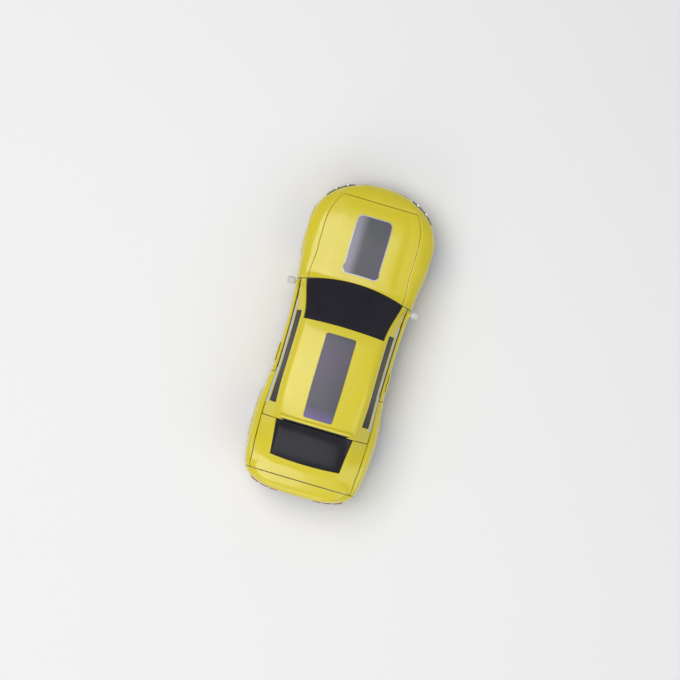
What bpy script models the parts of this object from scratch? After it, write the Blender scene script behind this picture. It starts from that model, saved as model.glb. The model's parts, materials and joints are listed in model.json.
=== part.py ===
"""Transforming robot car: a toy coupe whose cabin stands up on the tail to make a robot.

Frame: +Z up, the nose points along -Y, the driver's left is +X, and the origin is on the
ground under the middle of the car. Helper functions take millimetres and store metres.
"""
import math

import bmesh
import bpy
from mathutils import Matrix, Vector

MM = 0.001

# Driving dimensions, in millimetres.
LENGTH = 250.0
ROCKER_Z = 8.0
SKIN = 1.6
NOSE_ROUND = 40.0
TAIL_ROUND = 25.0

WHEEL_RADIUS = 17.0
WHEEL_WIDTH = 13.0
WHEEL_X = 41.0
FRONT_AXLE_Y = -78.0
REAR_AXLE_Y = 72.0
ARCH_RADIUS = 19.5
AXLE_RADIUS = 1.5

WAIST = (0.0, 68.0, 66.4)
CLIP_HINGE = (0.0, -41.0, 9.0)
DOOR_HINGE_X = 41.2
DOOR_HINGE_Y = -33.0
ELBOW = (37.0, 30.0, 30.0)
KINGPIN_X = 31.0
STEERING_ARM = 8.0

GEAR_MODULE = 1.0
AXLE_GEAR_TEETH = 24
PINION_TEETH = 12
GEAR_X = 10.0
GEAR_FACE = 4.0

# Stations along the skin: distance back from the nose tip.
HOOD_END = 78.6
DOOR_START = 79.6
DOOR_END = 161.0
WINDSHIELD_END = 114.0
ROOF_END = 190.9
TAIL_START = 195.9
REAR_WINDOW_END = 225.0
BUMPER_START = 238.4

# Places across the skin: 0 is the centre line, 1 the bottom edge of the body side.
ROOF_EDGE = 0.3
BELT = 0.5
SEAM = 0.008
SIDE_GLASS = (0.35, 0.45)

# Where the side windows begin and end along the skin.
GLASS_START = 108.0
GLASS_END = 184.0
PILLAR_END = 192.8

for old in list(bpy.data.objects):
    bpy.data.objects.remove(old)

PARTS = bpy.data.collections.new("transforming_robot_car")
CUTTERS = bpy.data.collections.new("cutters")
bpy.context.scene.collection.children.link(PARTS)
bpy.context.scene.collection.children.link(CUTTERS)


# ---------------------------------------------------------------- materials

def material(name, colour, roughness, metallic=0.0):
    """A Principled material of one finish."""
    made = bpy.data.materials.new(name)
    made.use_nodes = True
    shader = made.node_tree.nodes["Principled BSDF"]
    shader.inputs["Base Color"].default_value = (*colour, 1.0)
    shader.inputs["Roughness"].default_value = roughness
    shader.inputs["Metallic"].default_value = metallic
    return made


YELLOW = material("yellow_body_plastic", (0.68, 0.56, 0.02), 0.3)
BLACK = material("black_plastic", (0.02, 0.02, 0.022), 0.5)
GREY = material("grey_plastic", (0.16, 0.16, 0.17), 0.45)
STRIPE = material("stripe_plastic", (0.10, 0.09, 0.12), 0.4)
GLAZING = material("dark_glazing", (0.015, 0.015, 0.02), 0.1)
WHITE = material("white_plastic", (0.75, 0.75, 0.74), 0.4)
RED = material("red_plastic", (0.5, 0.02, 0.02), 0.35)
SILVER = material("silver_plated_plastic", (0.6, 0.6, 0.62), 0.25, 0.9)
RUBBER = material("tyre_rubber", (0.02, 0.02, 0.02), 0.85)
STEEL = material("steel", (0.55, 0.55, 0.56), 0.3, 1.0)
NYLON = material("white_nylon", (0.8, 0.78, 0.7), 0.5)
LAMP = material("clear_lamp", (0.8, 0.85, 0.9), 0.1)
GREEN = material("green_board", (0.02, 0.2, 0.06), 0.5)
BATTERY_BLUE = material("battery_sleeve", (0.03, 0.08, 0.35), 0.35)


# ---------------------------------------------------------------- placing

PIVOTS = {}


def joint_empty(name, pivot, parent=None):
    """An empty on a joint's axis; the pieces that move with the joint hang on it."""
    empty = bpy.data.objects.new(name, None)
    PARTS.objects.link(empty)
    PIVOTS[name] = Vector(pivot)
    start = PIVOTS[parent.name] if parent else Vector((0.0, 0.0, 0.0))
    empty.parent = parent
    empty.location = (PIVOTS[name] - start) * MM
    return empty


def add_object(name, bm, finish, home, smooth=False):
    """Turn a bmesh drawn in millimetres of the car's frame into an object under its empty."""
    pivot = PIVOTS[home.name]
    bmesh.ops.translate(bm, vec=-pivot, verts=bm.verts)
    bmesh.ops.scale(bm, vec=(MM, MM, MM), verts=bm.verts)
    mesh = bpy.data.meshes.new(name)
    bm.to_mesh(mesh)
    bm.free()
    mesh.materials.append(finish)
    if smooth:
        mesh.shade_smooth()
        mesh.set_sharp_from_angle(angle=math.radians(35.0))
    made = bpy.data.objects.new(name, mesh)
    PARTS.objects.link(made)
    made.parent = home
    return made


def add_cutter(name, bm):
    """A closed shape that is only cut with or joined on."""
    bmesh.ops.scale(bm, vec=(MM, MM, MM), verts=bm.verts)
    mesh = bpy.data.meshes.new(name)
    bm.to_mesh(mesh)
    bm.free()
    made = bpy.data.objects.new(name, mesh)
    CUTTERS.objects.link(made)
    made.hide_render = True
    made.display_type = "WIRE"
    return made


def combine(target, tool_bm, operation):
    """Cut a shape from a part, or join one on."""
    count = len(target.modifiers)
    step = target.modifiers.new(f"{operation.lower()}_{count}", "BOOLEAN")
    step.operation = operation
    step.solver = "EXACT"
    step.object = add_cutter(f"{target.name}_{operation.lower()}_{count}", tool_bm)


def cut(target, tool_bm):
    """Take a tool shape out of a part."""
    combine(target, tool_bm, "DIFFERENCE")


def join(target, tool_bm):
    """Add a tool shape to a part, as one body."""
    combine(target, tool_bm, "UNION")


def round_edges(target, width, segments=2):
    """Break a part's sharp edges."""
    bevel = target.modifiers.new("rounded_edges", "BEVEL")
    bevel.width = width * MM
    bevel.segments = segments
    bevel.limit_method = "ANGLE"
    bevel.angle_limit = math.radians(40.0)


# ---------------------------------------------------------------- basic shapes

def box_shape(x_range, y_range, z_range):
    """A box between two values on each axis."""
    bm = bmesh.new()
    bmesh.ops.create_cube(bm, size=1.0)
    ranges = (x_range, y_range, z_range)
    size = [high - low for low, high in ranges]
    middle = [(high + low) / 2 for low, high in ranges]
    bmesh.ops.scale(bm, vec=size, verts=bm.verts)
    bmesh.ops.translate(bm, vec=middle, verts=bm.verts)
    return bm


TURN_TO = {
    "X": Matrix.Rotation(math.radians(90.0), 3, "Y"),
    "Y": Matrix.Rotation(math.radians(90.0), 3, "X"),
    "Z": Matrix.Identity(3),
}


def rod_shape(axis, centre, radius, length, sides=24):
    """A cylinder along one axis, given by its middle."""
    bm = bmesh.new()
    bmesh.ops.create_cone(bm, cap_ends=True, segments=sides, radius1=radius,
                          radius2=radius, depth=length)
    bmesh.ops.rotate(bm, matrix=TURN_TO[axis], verts=bm.verts)
    bmesh.ops.translate(bm, vec=centre, verts=bm.verts)
    return bm


def plate_shape(outline, x_range):
    """A flat plate across the car: an outline of (y, z) points, extruded along X."""
    bm = bmesh.new()
    corners = [bm.verts.new((x_range[0], y, z)) for y, z in outline]
    face = bm.faces.new(corners)
    grown = bmesh.ops.extrude_face_region(bm, geom=[face])
    moved = [item for item in grown["geom"] if isinstance(item, bmesh.types.BMVert)]
    bmesh.ops.translate(bm, vec=(x_range[1] - x_range[0], 0.0, 0.0), verts=moved)
    bmesh.ops.recalc_face_normals(bm, faces=bm.faces)
    return bm


def turned_part(name, profile, centre, finish, home, sides=24):
    """A wheel piece: a closed (across, radius) profile turned about the axle line."""
    bm = bmesh.new()
    points = [bm.verts.new((radius * MM, 0.0, across * MM)) for across, radius in reversed(profile)]
    for index, point in enumerate(points):
        bm.edges.new((point, points[(index + 1) % len(points)]))
    mesh = bpy.data.meshes.new(name)
    bm.to_mesh(mesh)
    bm.free()
    mesh.materials.append(finish)
    made = bpy.data.objects.new(name, mesh)
    PARTS.objects.link(made)
    made.parent = home
    made.location = (Vector(centre) - PIVOTS[home.name]) * MM
    made.rotation_euler = (0.0, math.radians(90.0), 0.0)
    screw = made.modifiers.new("turned", "SCREW")
    screw.axis = "Z"
    screw.steps = sides
    screw.render_steps = sides
    screw.use_merge_vertices = True
    screw.merge_threshold = 0.00001
    screw.use_smooth_shade = True
    return made


# ---------------------------------------------------------------- body skin

def smooth_curve(knots):
    """A curve through its knots that never overshoots them (monotone cubic)."""
    xs = [knot[0] for knot in knots]
    ys = [knot[1] for knot in knots]
    steps = [xs[i + 1] - xs[i] for i in range(len(xs) - 1)]
    slopes = [(ys[i + 1] - ys[i]) / steps[i] for i in range(len(steps))]
    tangents = [slopes[0]]
    for before, after in zip(slopes, slopes[1:]):
        tangents.append(0.0 if before * after <= 0.0 else 2 * before * after / (before + after))
    tangents.append(slopes[-1])

    def value(x):
        x = min(max(x, xs[0]), xs[-1])
        index = 0
        while index < len(steps) - 1 and x > xs[index + 1]:
            index += 1
        t = (x - xs[index]) / steps[index]
        rise = ys[index + 1] - ys[index]
        start = tangents[index] * steps[index]
        end = tangents[index + 1] * steps[index]
        return ys[index] + t * (start + t * (3 * rise - 2 * start - end
                                             + t * (start + end - 2 * rise)))

    return value


# Each curve runs over the distance back from the nose tip.
side_width = smooth_curve([(0, 50), (50, 50), (80, 47.5), (105, 45.6), (125, 45), (150, 45.4),
                           (175, 47.6), (195, 49), (215, 48.6), (230, 47), (250, 44)])
top_height = smooth_curve([(0, 31), (4, 35.5), (10, 39), (20, 42), (40, 45), (78, 48.3),
                           (82, 49.8), (98, 58.6), (114, 66), (126, 68.6), (150, 70),
                           (175, 69.4), (191, 67.9), (197, 66.6), (225, 55.4), (231, 54),
                           (243, 54), (248, 52.5), (250, 49)])
roof_width = smooth_curve([(0, 0.8), (60, 0.8), (80, 0.86), (114, 0.735), (150, 0.735),
                           (190, 0.65), (225, 0.58), (236, 0.78), (250, 0.8)])
belt_width = smooth_curve([(0, 0.92), (78, 0.91), (120, 0.92), (180, 0.89), (225, 0.88),
                           (250, 0.92)])
edge_drop = smooth_curve([(0, 1.5), (70, 1.3), (84, 2.2), (120, 2.4), (190, 2.4), (225, 1.2),
                          (250, 1.2)])
belt_height = smooth_curve([(0, 27), (10, 34), (25, 38.5), (45, 41.5), (80, 45), (110, 47),
                            (180, 48.5), (220, 50), (240, 49.5), (250, 45)])
crossing_bow = smooth_curve([(0, 0), (58, 0), (79, 6), (114, 2), (135, 0), (200, 0),
                             (225, -3), (238, 0), (250, 0)])


def round_end(distance, reach, power):
    """How far the plan outline has opened at a distance from a rounded end."""
    if distance >= reach:
        return 1.0
    return (1.0 - (1.0 - distance / reach) ** power) ** (1.0 / power)


def skin_controls(station):
    """Half a cross-section's control points, from the centre line to the bottom edge."""
    width = side_width(station) * round_end(station, NOSE_ROUND, 2.5)
    width *= round_end(LENGTH - station, TAIL_ROUND, 3.5)
    top = top_height(station)
    edge = roof_width(station) * width
    belt = belt_width(station) * width
    drop = edge_drop(station)
    shoulder = belt_height(station)
    rise = shoulder - ROCKER_Z
    return [
        (0.0, top),
        (edge * 0.4, top - drop * 0.16),
        (edge * 0.8, top - drop * 0.55),
        (edge, top - drop),
        ((edge + belt) / 2, (top - drop + shoulder) / 2),
        (belt, shoulder),
        (belt + (width - belt) * 0.7, shoulder - 1.5),
        (width, ROCKER_Z + rise * 0.68),
        (width, ROCKER_Z + rise * 0.42),
        (width * 0.975, ROCKER_Z + rise * 0.18),
        (width * 0.94, ROCKER_Z),
    ]


def skin_section(station, across):
    """A point (x, z) on the section's smooth curve; across runs from 0 to 1."""
    points = skin_controls(station)
    last = len(points) - 1
    before = (-points[1][0], points[1][1])
    after = tuple(2 * end - inner for end, inner in zip(points[last], points[last - 1]))
    padded = [before, *points, after]
    place = min(max(across, 0.0), 1.0) * last
    index = min(int(place), last - 1)
    t = place - index
    weights = ((1 - t) ** 3, 3 * t ** 3 - 6 * t ** 2 + 4, -3 * t ** 3 + 3 * t ** 2 + 3 * t + 1, t ** 3)
    return tuple(sum(weight * padded[index + k][axis] for k, weight in enumerate(weights)) / 6
                 for axis in (0, 1))


def skin_point(station, across):
    """A point of the body skin. Cross lines of the cabin bow, more so towards the sides."""
    side = -1.0 if across < 0.0 else 1.0
    x, _ = skin_section(station, abs(across))
    bowed = station + crossing_bow(station) * (x / 40.0) ** 2
    bowed = min(bowed, LENGTH)
    x, z = skin_section(bowed, abs(across))
    return Vector((side * x, bowed - LENGTH / 2, z))


def steps(low, high, count, power=1.0):
    """Evenly spaced values, or crowded towards the low end when power is above 1."""
    return [low + (high - low) * (i / count) ** power for i in range(count + 1)]


def everywhere(_station, _across):
    """The whole grid is kept."""
    return True


def skin_panel(name, stations, places, finish, home, keep=everywhere, thickness=SKIN, lift=0.0):
    """A panel of the body skin: a grid of skin points, thickened inwards.

    A lifted panel is trim or a lamp that stands on the skin, thickened outwards.
    """
    bm = bmesh.new()
    grid = [[bm.verts.new(skin_point(station, place)) for place in places] for station in stations]
    for i in range(len(stations) - 1):
        for j in range(len(places) - 1):
            middle = ((stations[i] + stations[i + 1]) / 2, (places[j] + places[j + 1]) / 2)
            if keep(*middle):
                bm.faces.new((grid[i][j], grid[i][j + 1], grid[i + 1][j + 1], grid[i + 1][j]))
    loose = [vert for vert in bm.verts if not vert.link_faces]
    bmesh.ops.delete(bm, geom=loose, context="VERTS")
    bmesh.ops.remove_doubles(bm, verts=bm.verts, dist=0.001)
    if lift:
        bm.normal_update()
        for vert in bm.verts:
            vert.co += vert.normal * lift
    panel = add_object(name, bm, finish, home, smooth=True)
    solidify = panel.modifiers.new("thickness", "SOLIDIFY")
    solidify.thickness = thickness * MM
    solidify.offset = 1.0 if lift else -1.0
    return panel


def mirrored(places):
    """The same places on the other side of the car."""
    return [-place for place in reversed(places)]


def both_sides(places):
    """Places from one edge to the other through the centre line."""
    return mirrored(places)[:-1] + list(places)


SIDES = (("left", 1.0), ("right", -1.0))


def side_places(places, side):
    """Places along one flank."""
    return places if side > 0 else mirrored(places)


def side_range(low, high, side):
    """A range on X, mirrored for the right side."""
    return (low, high) if side > 0 else (-high, -low)


# ---------------------------------------------------------------- joints

BASE = joint_empty("base", (0.0, REAR_AXLE_Y, WHEEL_RADIUS))
TORSO = joint_empty("waist_hinge", WAIST, BASE)
CLIP = joint_empty("clip_fold", CLIP_HINGE, TORSO)
HEAD = joint_empty("head_lift", (0.0, -40.2, 12.0), CLIP)
REAR_WHEELS = joint_empty("rear_axle_turn", (0.0, REAR_AXLE_Y, WHEEL_RADIUS), BASE)
GEAR_CENTRES = GEAR_MODULE * (AXLE_GEAR_TEETH + PINION_TEETH) / 2
MOTOR_Y = REAR_AXLE_Y + GEAR_CENTRES
PINION = joint_empty("pinion_turn", (0.0, MOTOR_Y, WHEEL_RADIUS), BASE)
SWITCH = joint_empty("switch_slide", (0.0, 45.0, 6.0), BASE)
TIE_ROD = joint_empty("tie_rod_slide", (0.0, FRONT_AXLE_Y + STEERING_ARM, 17.0), CLIP)


# ---------------------------------------------------------------- base: legs, drive and tail

def build_chassis():
    """The floor of the tail, with a bridge between the feet and bays cut through it."""
    plate = add_object("chassis_plate", box_shape((-33, 33), (66.4, 113), (5.5, 8.2)), BLACK, BASE)
    join(plate, box_shape((-20.6, 20.6), (37, 70), (5.5, 8.2)))
    cut(plate, box_shape((GEAR_X - 2, GEAR_X + GEAR_FACE + 2), (58, 86), (4, 10)))
    cut(plate, box_shape((-28.4, 28.4), (98, 111.5), (4, 10)))
    cut(plate, box_shape((-4, 4), (42, 54), (4, 10)))
    return plate


def build_legs():
    """Each foot and lower leg is one hollow-looking block beside the floor bridge."""
    for word, side in SIDES:
        leg = add_object(f"lower_leg_{word}",
                         box_shape(side_range(21, 33, side), (37, 66), (1.2, 54)), GREY, BASE)
        cut(leg, box_shape(side_range(15, 40, side), (55, 70), (-5, 8.6)))
        round_edges(leg, 1.2)


def build_hip_frame():
    """The wall behind the cabin, its side walls and the fixed half of the waist hinge."""
    frame = add_object("hip_frame", box_shape((-33, 33), (74.5, 77), (31, 56)), BLACK, BASE)
    for _word, side in SIDES:
        join(frame, box_shape(side_range(31.2, 33, side), (68, 112), (8.6, 46)))
        cut(frame, rod_shape("X", (32 * side, REAR_AXLE_Y, WHEEL_RADIUS), 1.85, 12, 14))
    _, hinge_y, hinge_z = WAIST
    for low, high in ((-27, -18), (-6, 6), (18, 27)):
        web = [(hinge_y - 1.4, hinge_z - 0.5), (hinge_y + 1.4, hinge_z - 0.5),
               (hinge_y + 1.6, hinge_z - 5), (76, 55), (76, 50), (hinge_y - 0.6, hinge_z - 5)]
        join(frame, plate_shape(web, (low, high)))
        join(frame, rod_shape("X", ((low + high) / 2, hinge_y, hinge_z), 1.8, high - low, 14))
    cut(frame, rod_shape("X", WAIST, 1.15, 80, 12))
    add_object("waist_pin", rod_shape("X", WAIST, 0.8, 54.4, 12), STEEL, BASE, smooth=True)


def gear_shape(teeth, face, centre, turn):
    """A spur gear with involute flanks, slightly thinned teeth and a bore for its shaft."""
    pressure = math.radians(25.0)
    pitch = GEAR_MODULE * teeth / 2
    base_radius = pitch * math.cos(pressure)
    tip = pitch + 0.82 * GEAR_MODULE
    root = pitch - 1.15 * GEAR_MODULE
    backlash = 0.16
    half_tooth = (math.pi * GEAR_MODULE / 2 - backlash) / 2 / pitch
    pitch_roll = math.tan(pressure) - pressure
    start = max(base_radius, root + 0.15)
    flank = []
    for radius in steps(start, tip, 2):
        cosine = base_radius / radius
        angle = math.acos(min(1.0, cosine))
        flank.append((radius, half_tooth + pitch_roll - (math.tan(angle) - angle)))
    outline = []
    for tooth in range(teeth):
        middle = turn + 2 * math.pi * tooth / teeth
        rising = [(root, flank[0][1])] + flank
        for radius, offset in rising:
            outline.append((radius, middle - offset))
        for radius, offset in reversed(rising):
            outline.append((radius, middle + offset))
    points = [(centre[1] + r * math.cos(a), centre[2] + r * math.sin(a)) for r, a in outline]
    return plate_shape(points, (centre[0], centre[0] + face))


def build_drive():
    """Rear axle with its wheels and gear, and the motor that drives it."""
    axle_at = (0.0, REAR_AXLE_Y, WHEEL_RADIUS)
    add_object("rear_axle", rod_shape("X", axle_at, AXLE_RADIUS, 92, 20), STEEL, REAR_WHEELS, True)
    gear = add_object("axle_gear",
                      gear_shape(AXLE_GEAR_TEETH, GEAR_FACE, (GEAR_X, REAR_AXLE_Y, WHEEL_RADIUS), 0.0),
                      NYLON, REAR_WHEELS)
    cut(gear, rod_shape("X", (GEAR_X + 2, REAR_AXLE_Y, WHEEL_RADIUS), AXLE_RADIUS + 0.35, 20))
    half_tooth_turn = math.pi / PINION_TEETH
    pinion = add_object("motor_pinion",
                        gear_shape(PINION_TEETH, GEAR_FACE - 0.6,
                                   (GEAR_X + 0.3, MOTOR_Y, WHEEL_RADIUS), math.pi + half_tooth_turn),
                        STEEL, PINION)
    cut(pinion, rod_shape("X", (GEAR_X + 2, MOTOR_Y, WHEEL_RADIUS), 1.35, 20, 16))
    motor = add_object("drive_motor", rod_shape("X", (-7, MOTOR_Y, WHEEL_RADIUS), 7.5, 26), SILVER,
                       BASE, True)
    join(motor, rod_shape("X", (6, MOTOR_Y, WHEEL_RADIUS), 1.0, 18, 16))


def build_power():
    """Battery pack, its cover and screw, and the slide switch underneath."""
    add_object("battery_pack", box_shape((-27.5, 27.5), (98.6, 111), (9, 44)), BATTERY_BLUE, BASE)
    round_edges(bpy.data.objects["battery_pack"], 3.0, 3)
    cover = add_object("battery_cover", box_shape((-28, 28), (98.4, 111.1), (5.5, 8.2)), BLACK, BASE)
    cut(cover, rod_shape("Z", (22, 105, 7), 1.9, 10, 16))
    screw = add_object("cover_screw", rod_shape("Z", (22, 105, 6.6), 1.5, 3.4, 16), STEEL, BASE)
    join(screw, rod_shape("Z", (22, 105, 4.6), 2.7, 1.0, 16))
    slider = add_object("power_switch", box_shape((-3.4, 3.4), (42.6, 47.4), (4.4, 8.0)), RED, SWITCH)
    round_edges(slider, 0.5)


def outside_rear_window(station, across):
    return station > REAR_WINDOW_END or abs(across) > ROOF_EDGE


def arch_shape(axle_y, side):
    """The cylinder that opens a wheel arch."""
    return rod_shape("X", (side * 48, axle_y, WHEEL_RADIUS), ARCH_RADIUS, 40, 32)


def build_tail():
    """Yellow skin of the tail: sail panels and deck, rear quarters, bumper, and its glass."""
    window_rows = steps(TAIL_START, REAR_WINDOW_END, 6)
    deck_rows = steps(REAR_WINDOW_END, BUMPER_START - 0.8, 3)
    places = steps(0.0, ROOF_EDGE, 4) + steps(ROOF_EDGE, BELT - SEAM, 4)[1:]
    skin_panel("tail_shell", window_rows + deck_rows[1:], both_sides(places), YELLOW, BASE,
               outside_rear_window)
    glass_rows = steps(TAIL_START, REAR_WINDOW_END - 0.4, 5)
    glass_places = both_sides(steps(0.0, ROOF_EDGE - 0.02, 4))
    skin_panel("rear_window", glass_rows, glass_places, GLAZING, BASE)
    quarter_places = steps(BELT + 2 * SEAM, 1.0, 6)
    for word, side in SIDES:
        quarter = skin_panel(f"rear_quarter_{word}", steps(DOOR_END + 0.8, BUMPER_START - 0.8, 12),
                             side_places(quarter_places, side), YELLOW, BASE)
        cut(quarter, arch_shape(REAR_AXLE_Y, side))
    tail_rows = [LENGTH - value for value in reversed(steps(0.0, LENGTH - BUMPER_START, 6, 2.2))]
    bumper_places = steps(0.0, ROOF_EDGE, 2) + steps(ROOF_EDGE, 1.0, 8)[1:]
    skin_panel("rear_bumper", tail_rows, both_sides(bumper_places), YELLOW, BASE)


build_chassis()
build_legs()
build_hip_frame()
build_drive()
build_power()
build_tail()


# ---------------------------------------------------------------- torso: cabin and chest

def build_torso_frame():
    """A tray that carries everything in the cabin; narrow between the legs, wide in the chest."""
    frame = add_object("torso_frame", box_shape((-33, 33), (-24, 34), (13.6, 15.6)), BLACK, TORSO)
    join(frame, box_shape((-19, 19), (30, 56), (13.6, 15.6)))
    for _word, side in SIDES:
        join(frame, box_shape(side_range(31, 33, side), (-24, 34), (14.5, 40)))
        join(frame, box_shape(side_range(17, 19, side), (33, 56), (14.5, 44)))
    join(frame, box_shape((-33, 33), (32, 34), (14.5, 40)))
    join(frame, box_shape((-6.4, 6.4), (-24, -21), (9, 15)))
    join(frame, box_shape((-6.4, 6.4), (-40, -21), (7.6, 10.8)))
    join(frame, rod_shape("X", CLIP_HINGE, 2.4, 12.8, 14))
    cut(frame, rod_shape("X", CLIP_HINGE, 1.15, 60, 12))
    add_waist_arms(frame)


def add_waist_arms(frame):
    """Two arms from the torso tray up to the moving half of the waist hinge."""
    _, hinge_y, hinge_z = WAIST
    outline = [(hinge_y - 1.4, hinge_z - 0.6), (hinge_y - 1.0, hinge_z - 3), (57, 40), (44, 36),
               (44, 42), (52, 50), (62, hinge_z - 3.4)]
    for _word, side in SIDES:
        join(frame, plate_shape(outline, side_range(6.6, 17.4, side)))
        join(frame, rod_shape("X", (side * 12, hinge_y, hinge_z), 1.8, 10.8, 14))
    cut(frame, rod_shape("X", WAIST, 1.15, 80, 12))


def build_chest():
    """Robot front, seen under the car, and what the tray holds."""
    chest = add_object("chest_plate", box_shape((-31, 31), (-19.4, 6), (8.7, 13.2)), RED, TORSO)
    round_edges(chest, 1.0)
    abdomen = add_object("abdomen_plate", box_shape((-24, 24), (6.6, 32), (8.9, 13.2)), SILVER, TORSO)
    round_edges(abdomen, 1.0)
    hip = add_object("hip_plate", box_shape((-18, 18), (32.6, 56), (8.9, 13.2)), WHITE, TORSO)
    round_edges(hip, 1.0)
    board = add_object("circuit_board", box_shape((-28, 28), (-21, 6), (16.0, 17.6)), GREEN, TORSO)
    for x, y in ((-18, -12), (0, -8), (16, -14), (10, 0)):
        join(board, box_shape((x - 4, x + 4), (y - 3, y + 3), (17.0, 20.5)))
    add_object("speaker", rod_shape("Z", (0, 20, 19), 10, 6, 32), BLACK, TORSO, True)
    motor = add_object("lift_motor", rod_shape("X", (0, 45, 27), 7.5, 26), SILVER, TORSO, True)
    join(motor, box_shape((-10, 10), (37.5, 52.5), (16, 22)))


def roof_keep(station, across):
    """The roof skin without the glass, and without the top's last strip at the hinge."""
    place = abs(across)
    if station < WINDSHIELD_END and place < ROOF_EDGE:
        return False
    if GLASS_START < station < GLASS_END and SIDE_GLASS[0] < place < SIDE_GLASS[1]:
        return False
    return station < ROOF_END or place > ROOF_EDGE


def build_cabin_skin():
    """Yellow roof and pillars, the glass set in them, and the stripe along the roof."""
    rows = (steps(DOOR_START, GLASS_START, 5) + [WINDSHIELD_END]
            + steps(WINDSHIELD_END, GLASS_END, 8)[1:]
            + [ROOF_END, PILLAR_END])
    places = (steps(0.0, ROOF_EDGE, 3) + [SIDE_GLASS[0], 0.4, SIDE_GLASS[1], BELT - 2 * SEAM])
    skin_panel("roof_shell", rows, both_sides(places), YELLOW, TORSO, roof_keep)
    glass_places = both_sides(steps(0.0, ROOF_EDGE - 0.02, 4))
    skin_panel("windshield", steps(HOOD_END + 0.6, WINDSHIELD_END - 0.4, 6), glass_places, GLAZING,
               TORSO)
    skin_panel("roof_stripe", steps(121, 188, 8), both_sides(steps(0.0, 0.09, 2)), STRIPE, TORSO,
               thickness=0.5, lift=0.35)
    inset = 0.008
    window_places = steps(SIDE_GLASS[0] + inset, SIDE_GLASS[1] - inset, 2)
    for word, side in SIDES:
        skin_panel(f"side_window_{word}", steps(108.4, 183.6, 9), side_places(window_places, side),
                   GLAZING, TORSO)


build_torso_frame()
build_chest()
build_cabin_skin()


# ---------------------------------------------------------------- doors and arms

def build_doors():
    """A door skin, its mirror and the upper arm behind it turn together on the door hinge."""
    for word, side in SIDES:
        hinge = joint_empty(f"door_{word}_hinge", (side * DOOR_HINGE_X, DOOR_HINGE_Y, 30.0), TORSO)
        skin_panel(f"door_{word}", steps(DOOR_START, DOOR_END, 9),
                   side_places(steps(BELT + 4 * SEAM, 1.0, 6), side), YELLOW, hinge)
        mirror = add_object(f"mirror_{word}",
                            box_shape(side_range(46.6, 53, side), (-38, -32.5), (47.2, 51.6)), GREY,
                            hinge)
        round_edges(mirror, 1.2, 3)
        arm = add_object(f"upper_arm_{word}",
                         box_shape(side_range(40, 42.2, side), (-33, 33), (27.5, 32.5)), BLACK, hinge)
        join(arm, rod_shape("Z", (side * DOOR_HINGE_X, DOOR_HINGE_Y, 30), 2.2, 13, 20))
        elbow = (side * ELBOW[0], ELBOW[1], ELBOW[2])
        joint = joint_empty(f"forearm_{word}_hinge", elbow, hinge)
        forearm = add_object(f"forearm_{word}",
                             box_shape(side_range(34.6, 39.2, side), (0, 32), (26.5, 33.5)), WHITE,
                             joint)
        join(forearm, box_shape(side_range(34.4, 39.4, side), (-8, 3), (25.5, 34.5)))
        round_edges(forearm, 0.9)


build_doors()


# ---------------------------------------------------------------- front clip, head and steering

def clip_shell():
    """Hood, fenders and nose in one yellow moulding, with both wheel arches cut out."""
    rows = steps(0.0, 36.0, 9, 2.2) + steps(36.0, HOOD_END, 5)[1:]
    places = steps(0.0, ROOF_EDGE, 3) + steps(ROOF_EDGE, 1.0, 9)[1:]
    shell = skin_panel("front_shell", rows, both_sides(places), YELLOW, CLIP)
    for _word, side in SIDES:
        cut(shell, arch_shape(FRONT_AXLE_Y, side))
    skin_panel("hood_stripe", steps(26, 73, 6), both_sides(steps(0.0, 0.087, 2)), STRIPE, CLIP,
               thickness=0.5, lift=0.35)
    for word, side in SIDES:
        skin_panel(f"headlight_{word}", steps(2.2, 9.5, 5), side_places(steps(0.6, 0.72, 3), side),
                   LAMP, CLIP, thickness=0.8, lift=0.35)


def build_clip():
    """What the moulding covers: tray with the clip hinge, rear wall, head rails and servo."""
    clip_shell()
    tray = add_object("front_tray", box_shape((-28, 28), (-118, -44.2), (5.6, 7.8)), BLACK, CLIP)
    for low, high in ((-24, -11.6), (11.6, 24)):
        join(tray, rod_shape("X", ((low + high) / 2, CLIP_HINGE[1], CLIP_HINGE[2]), 2.4, high - low, 14))
        join(tray, box_shape((low, high), (-46, -42), (5.8, 8.4)))
    join(tray, rod_shape("X", CLIP_HINGE, 0.8, 26, 16))
    wall = add_object("clip_wall", box_shape((-27, 27), (-46, -43.8), (9.4, 43)), BLACK, CLIP)
    for _word, side in SIDES:
        join(wall, rod_shape("Z", (side * 9, -40.2, 27.3), 1.0, 33, 12))
        join(wall, box_shape(side_range(7.6, 10.4, side), (-45, -39), (9.8, 11.8)))
    servo = add_object("steering_servo", box_shape((-10, 10), (-66, -52), (8.3, 21)), BLACK, CLIP)
    round_edges(servo, 0.8)
    beam = add_object("front_beam", box_shape((-33, 33), (-81, -75), (8.3, 11.3)), GREY, CLIP)
    join(beam, box_shape((-33, 33), (-81, -75), (23.2, 26.2)))
    join(beam, box_shape((-22, 22), (-81, -75), (10, 25)))
    for _word, side in SIDES:
        cut(beam, rod_shape("Z", (side * KINGPIN_X, FRONT_AXLE_Y, 17), 1.35, 30, 16))


def build_head():
    """Helmet and visor on a carriage that climbs the two rails behind the hood."""
    carriage = add_object("head_carriage", box_shape((-12.4, 12.4), (-42.6, -38.2), (12.2, 21)), GREY,
                          HEAD)
    for _word, side in SIDES:
        cut(carriage, rod_shape("Z", (side * 9, -40.2, 17), 1.35, 20, 16))
    helmet = add_object("helmet", box_shape((-9, 9), (-37.8, -27.5), (12.6, 31.4)), YELLOW, HEAD)
    for _word, side in SIDES:
        join(helmet, box_shape(side_range(8, 11.4, side), (-35, -30), (16, 28)))
    cut(helmet, box_shape((-7.4, 7.4), (-40, -36.4), (21.6, 27.4)))
    round_edges(helmet, 0.8)
    add_object("visor", box_shape((-7, 7), (-38.2, -36.8), (22, 27)), GLAZING, HEAD)


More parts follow.
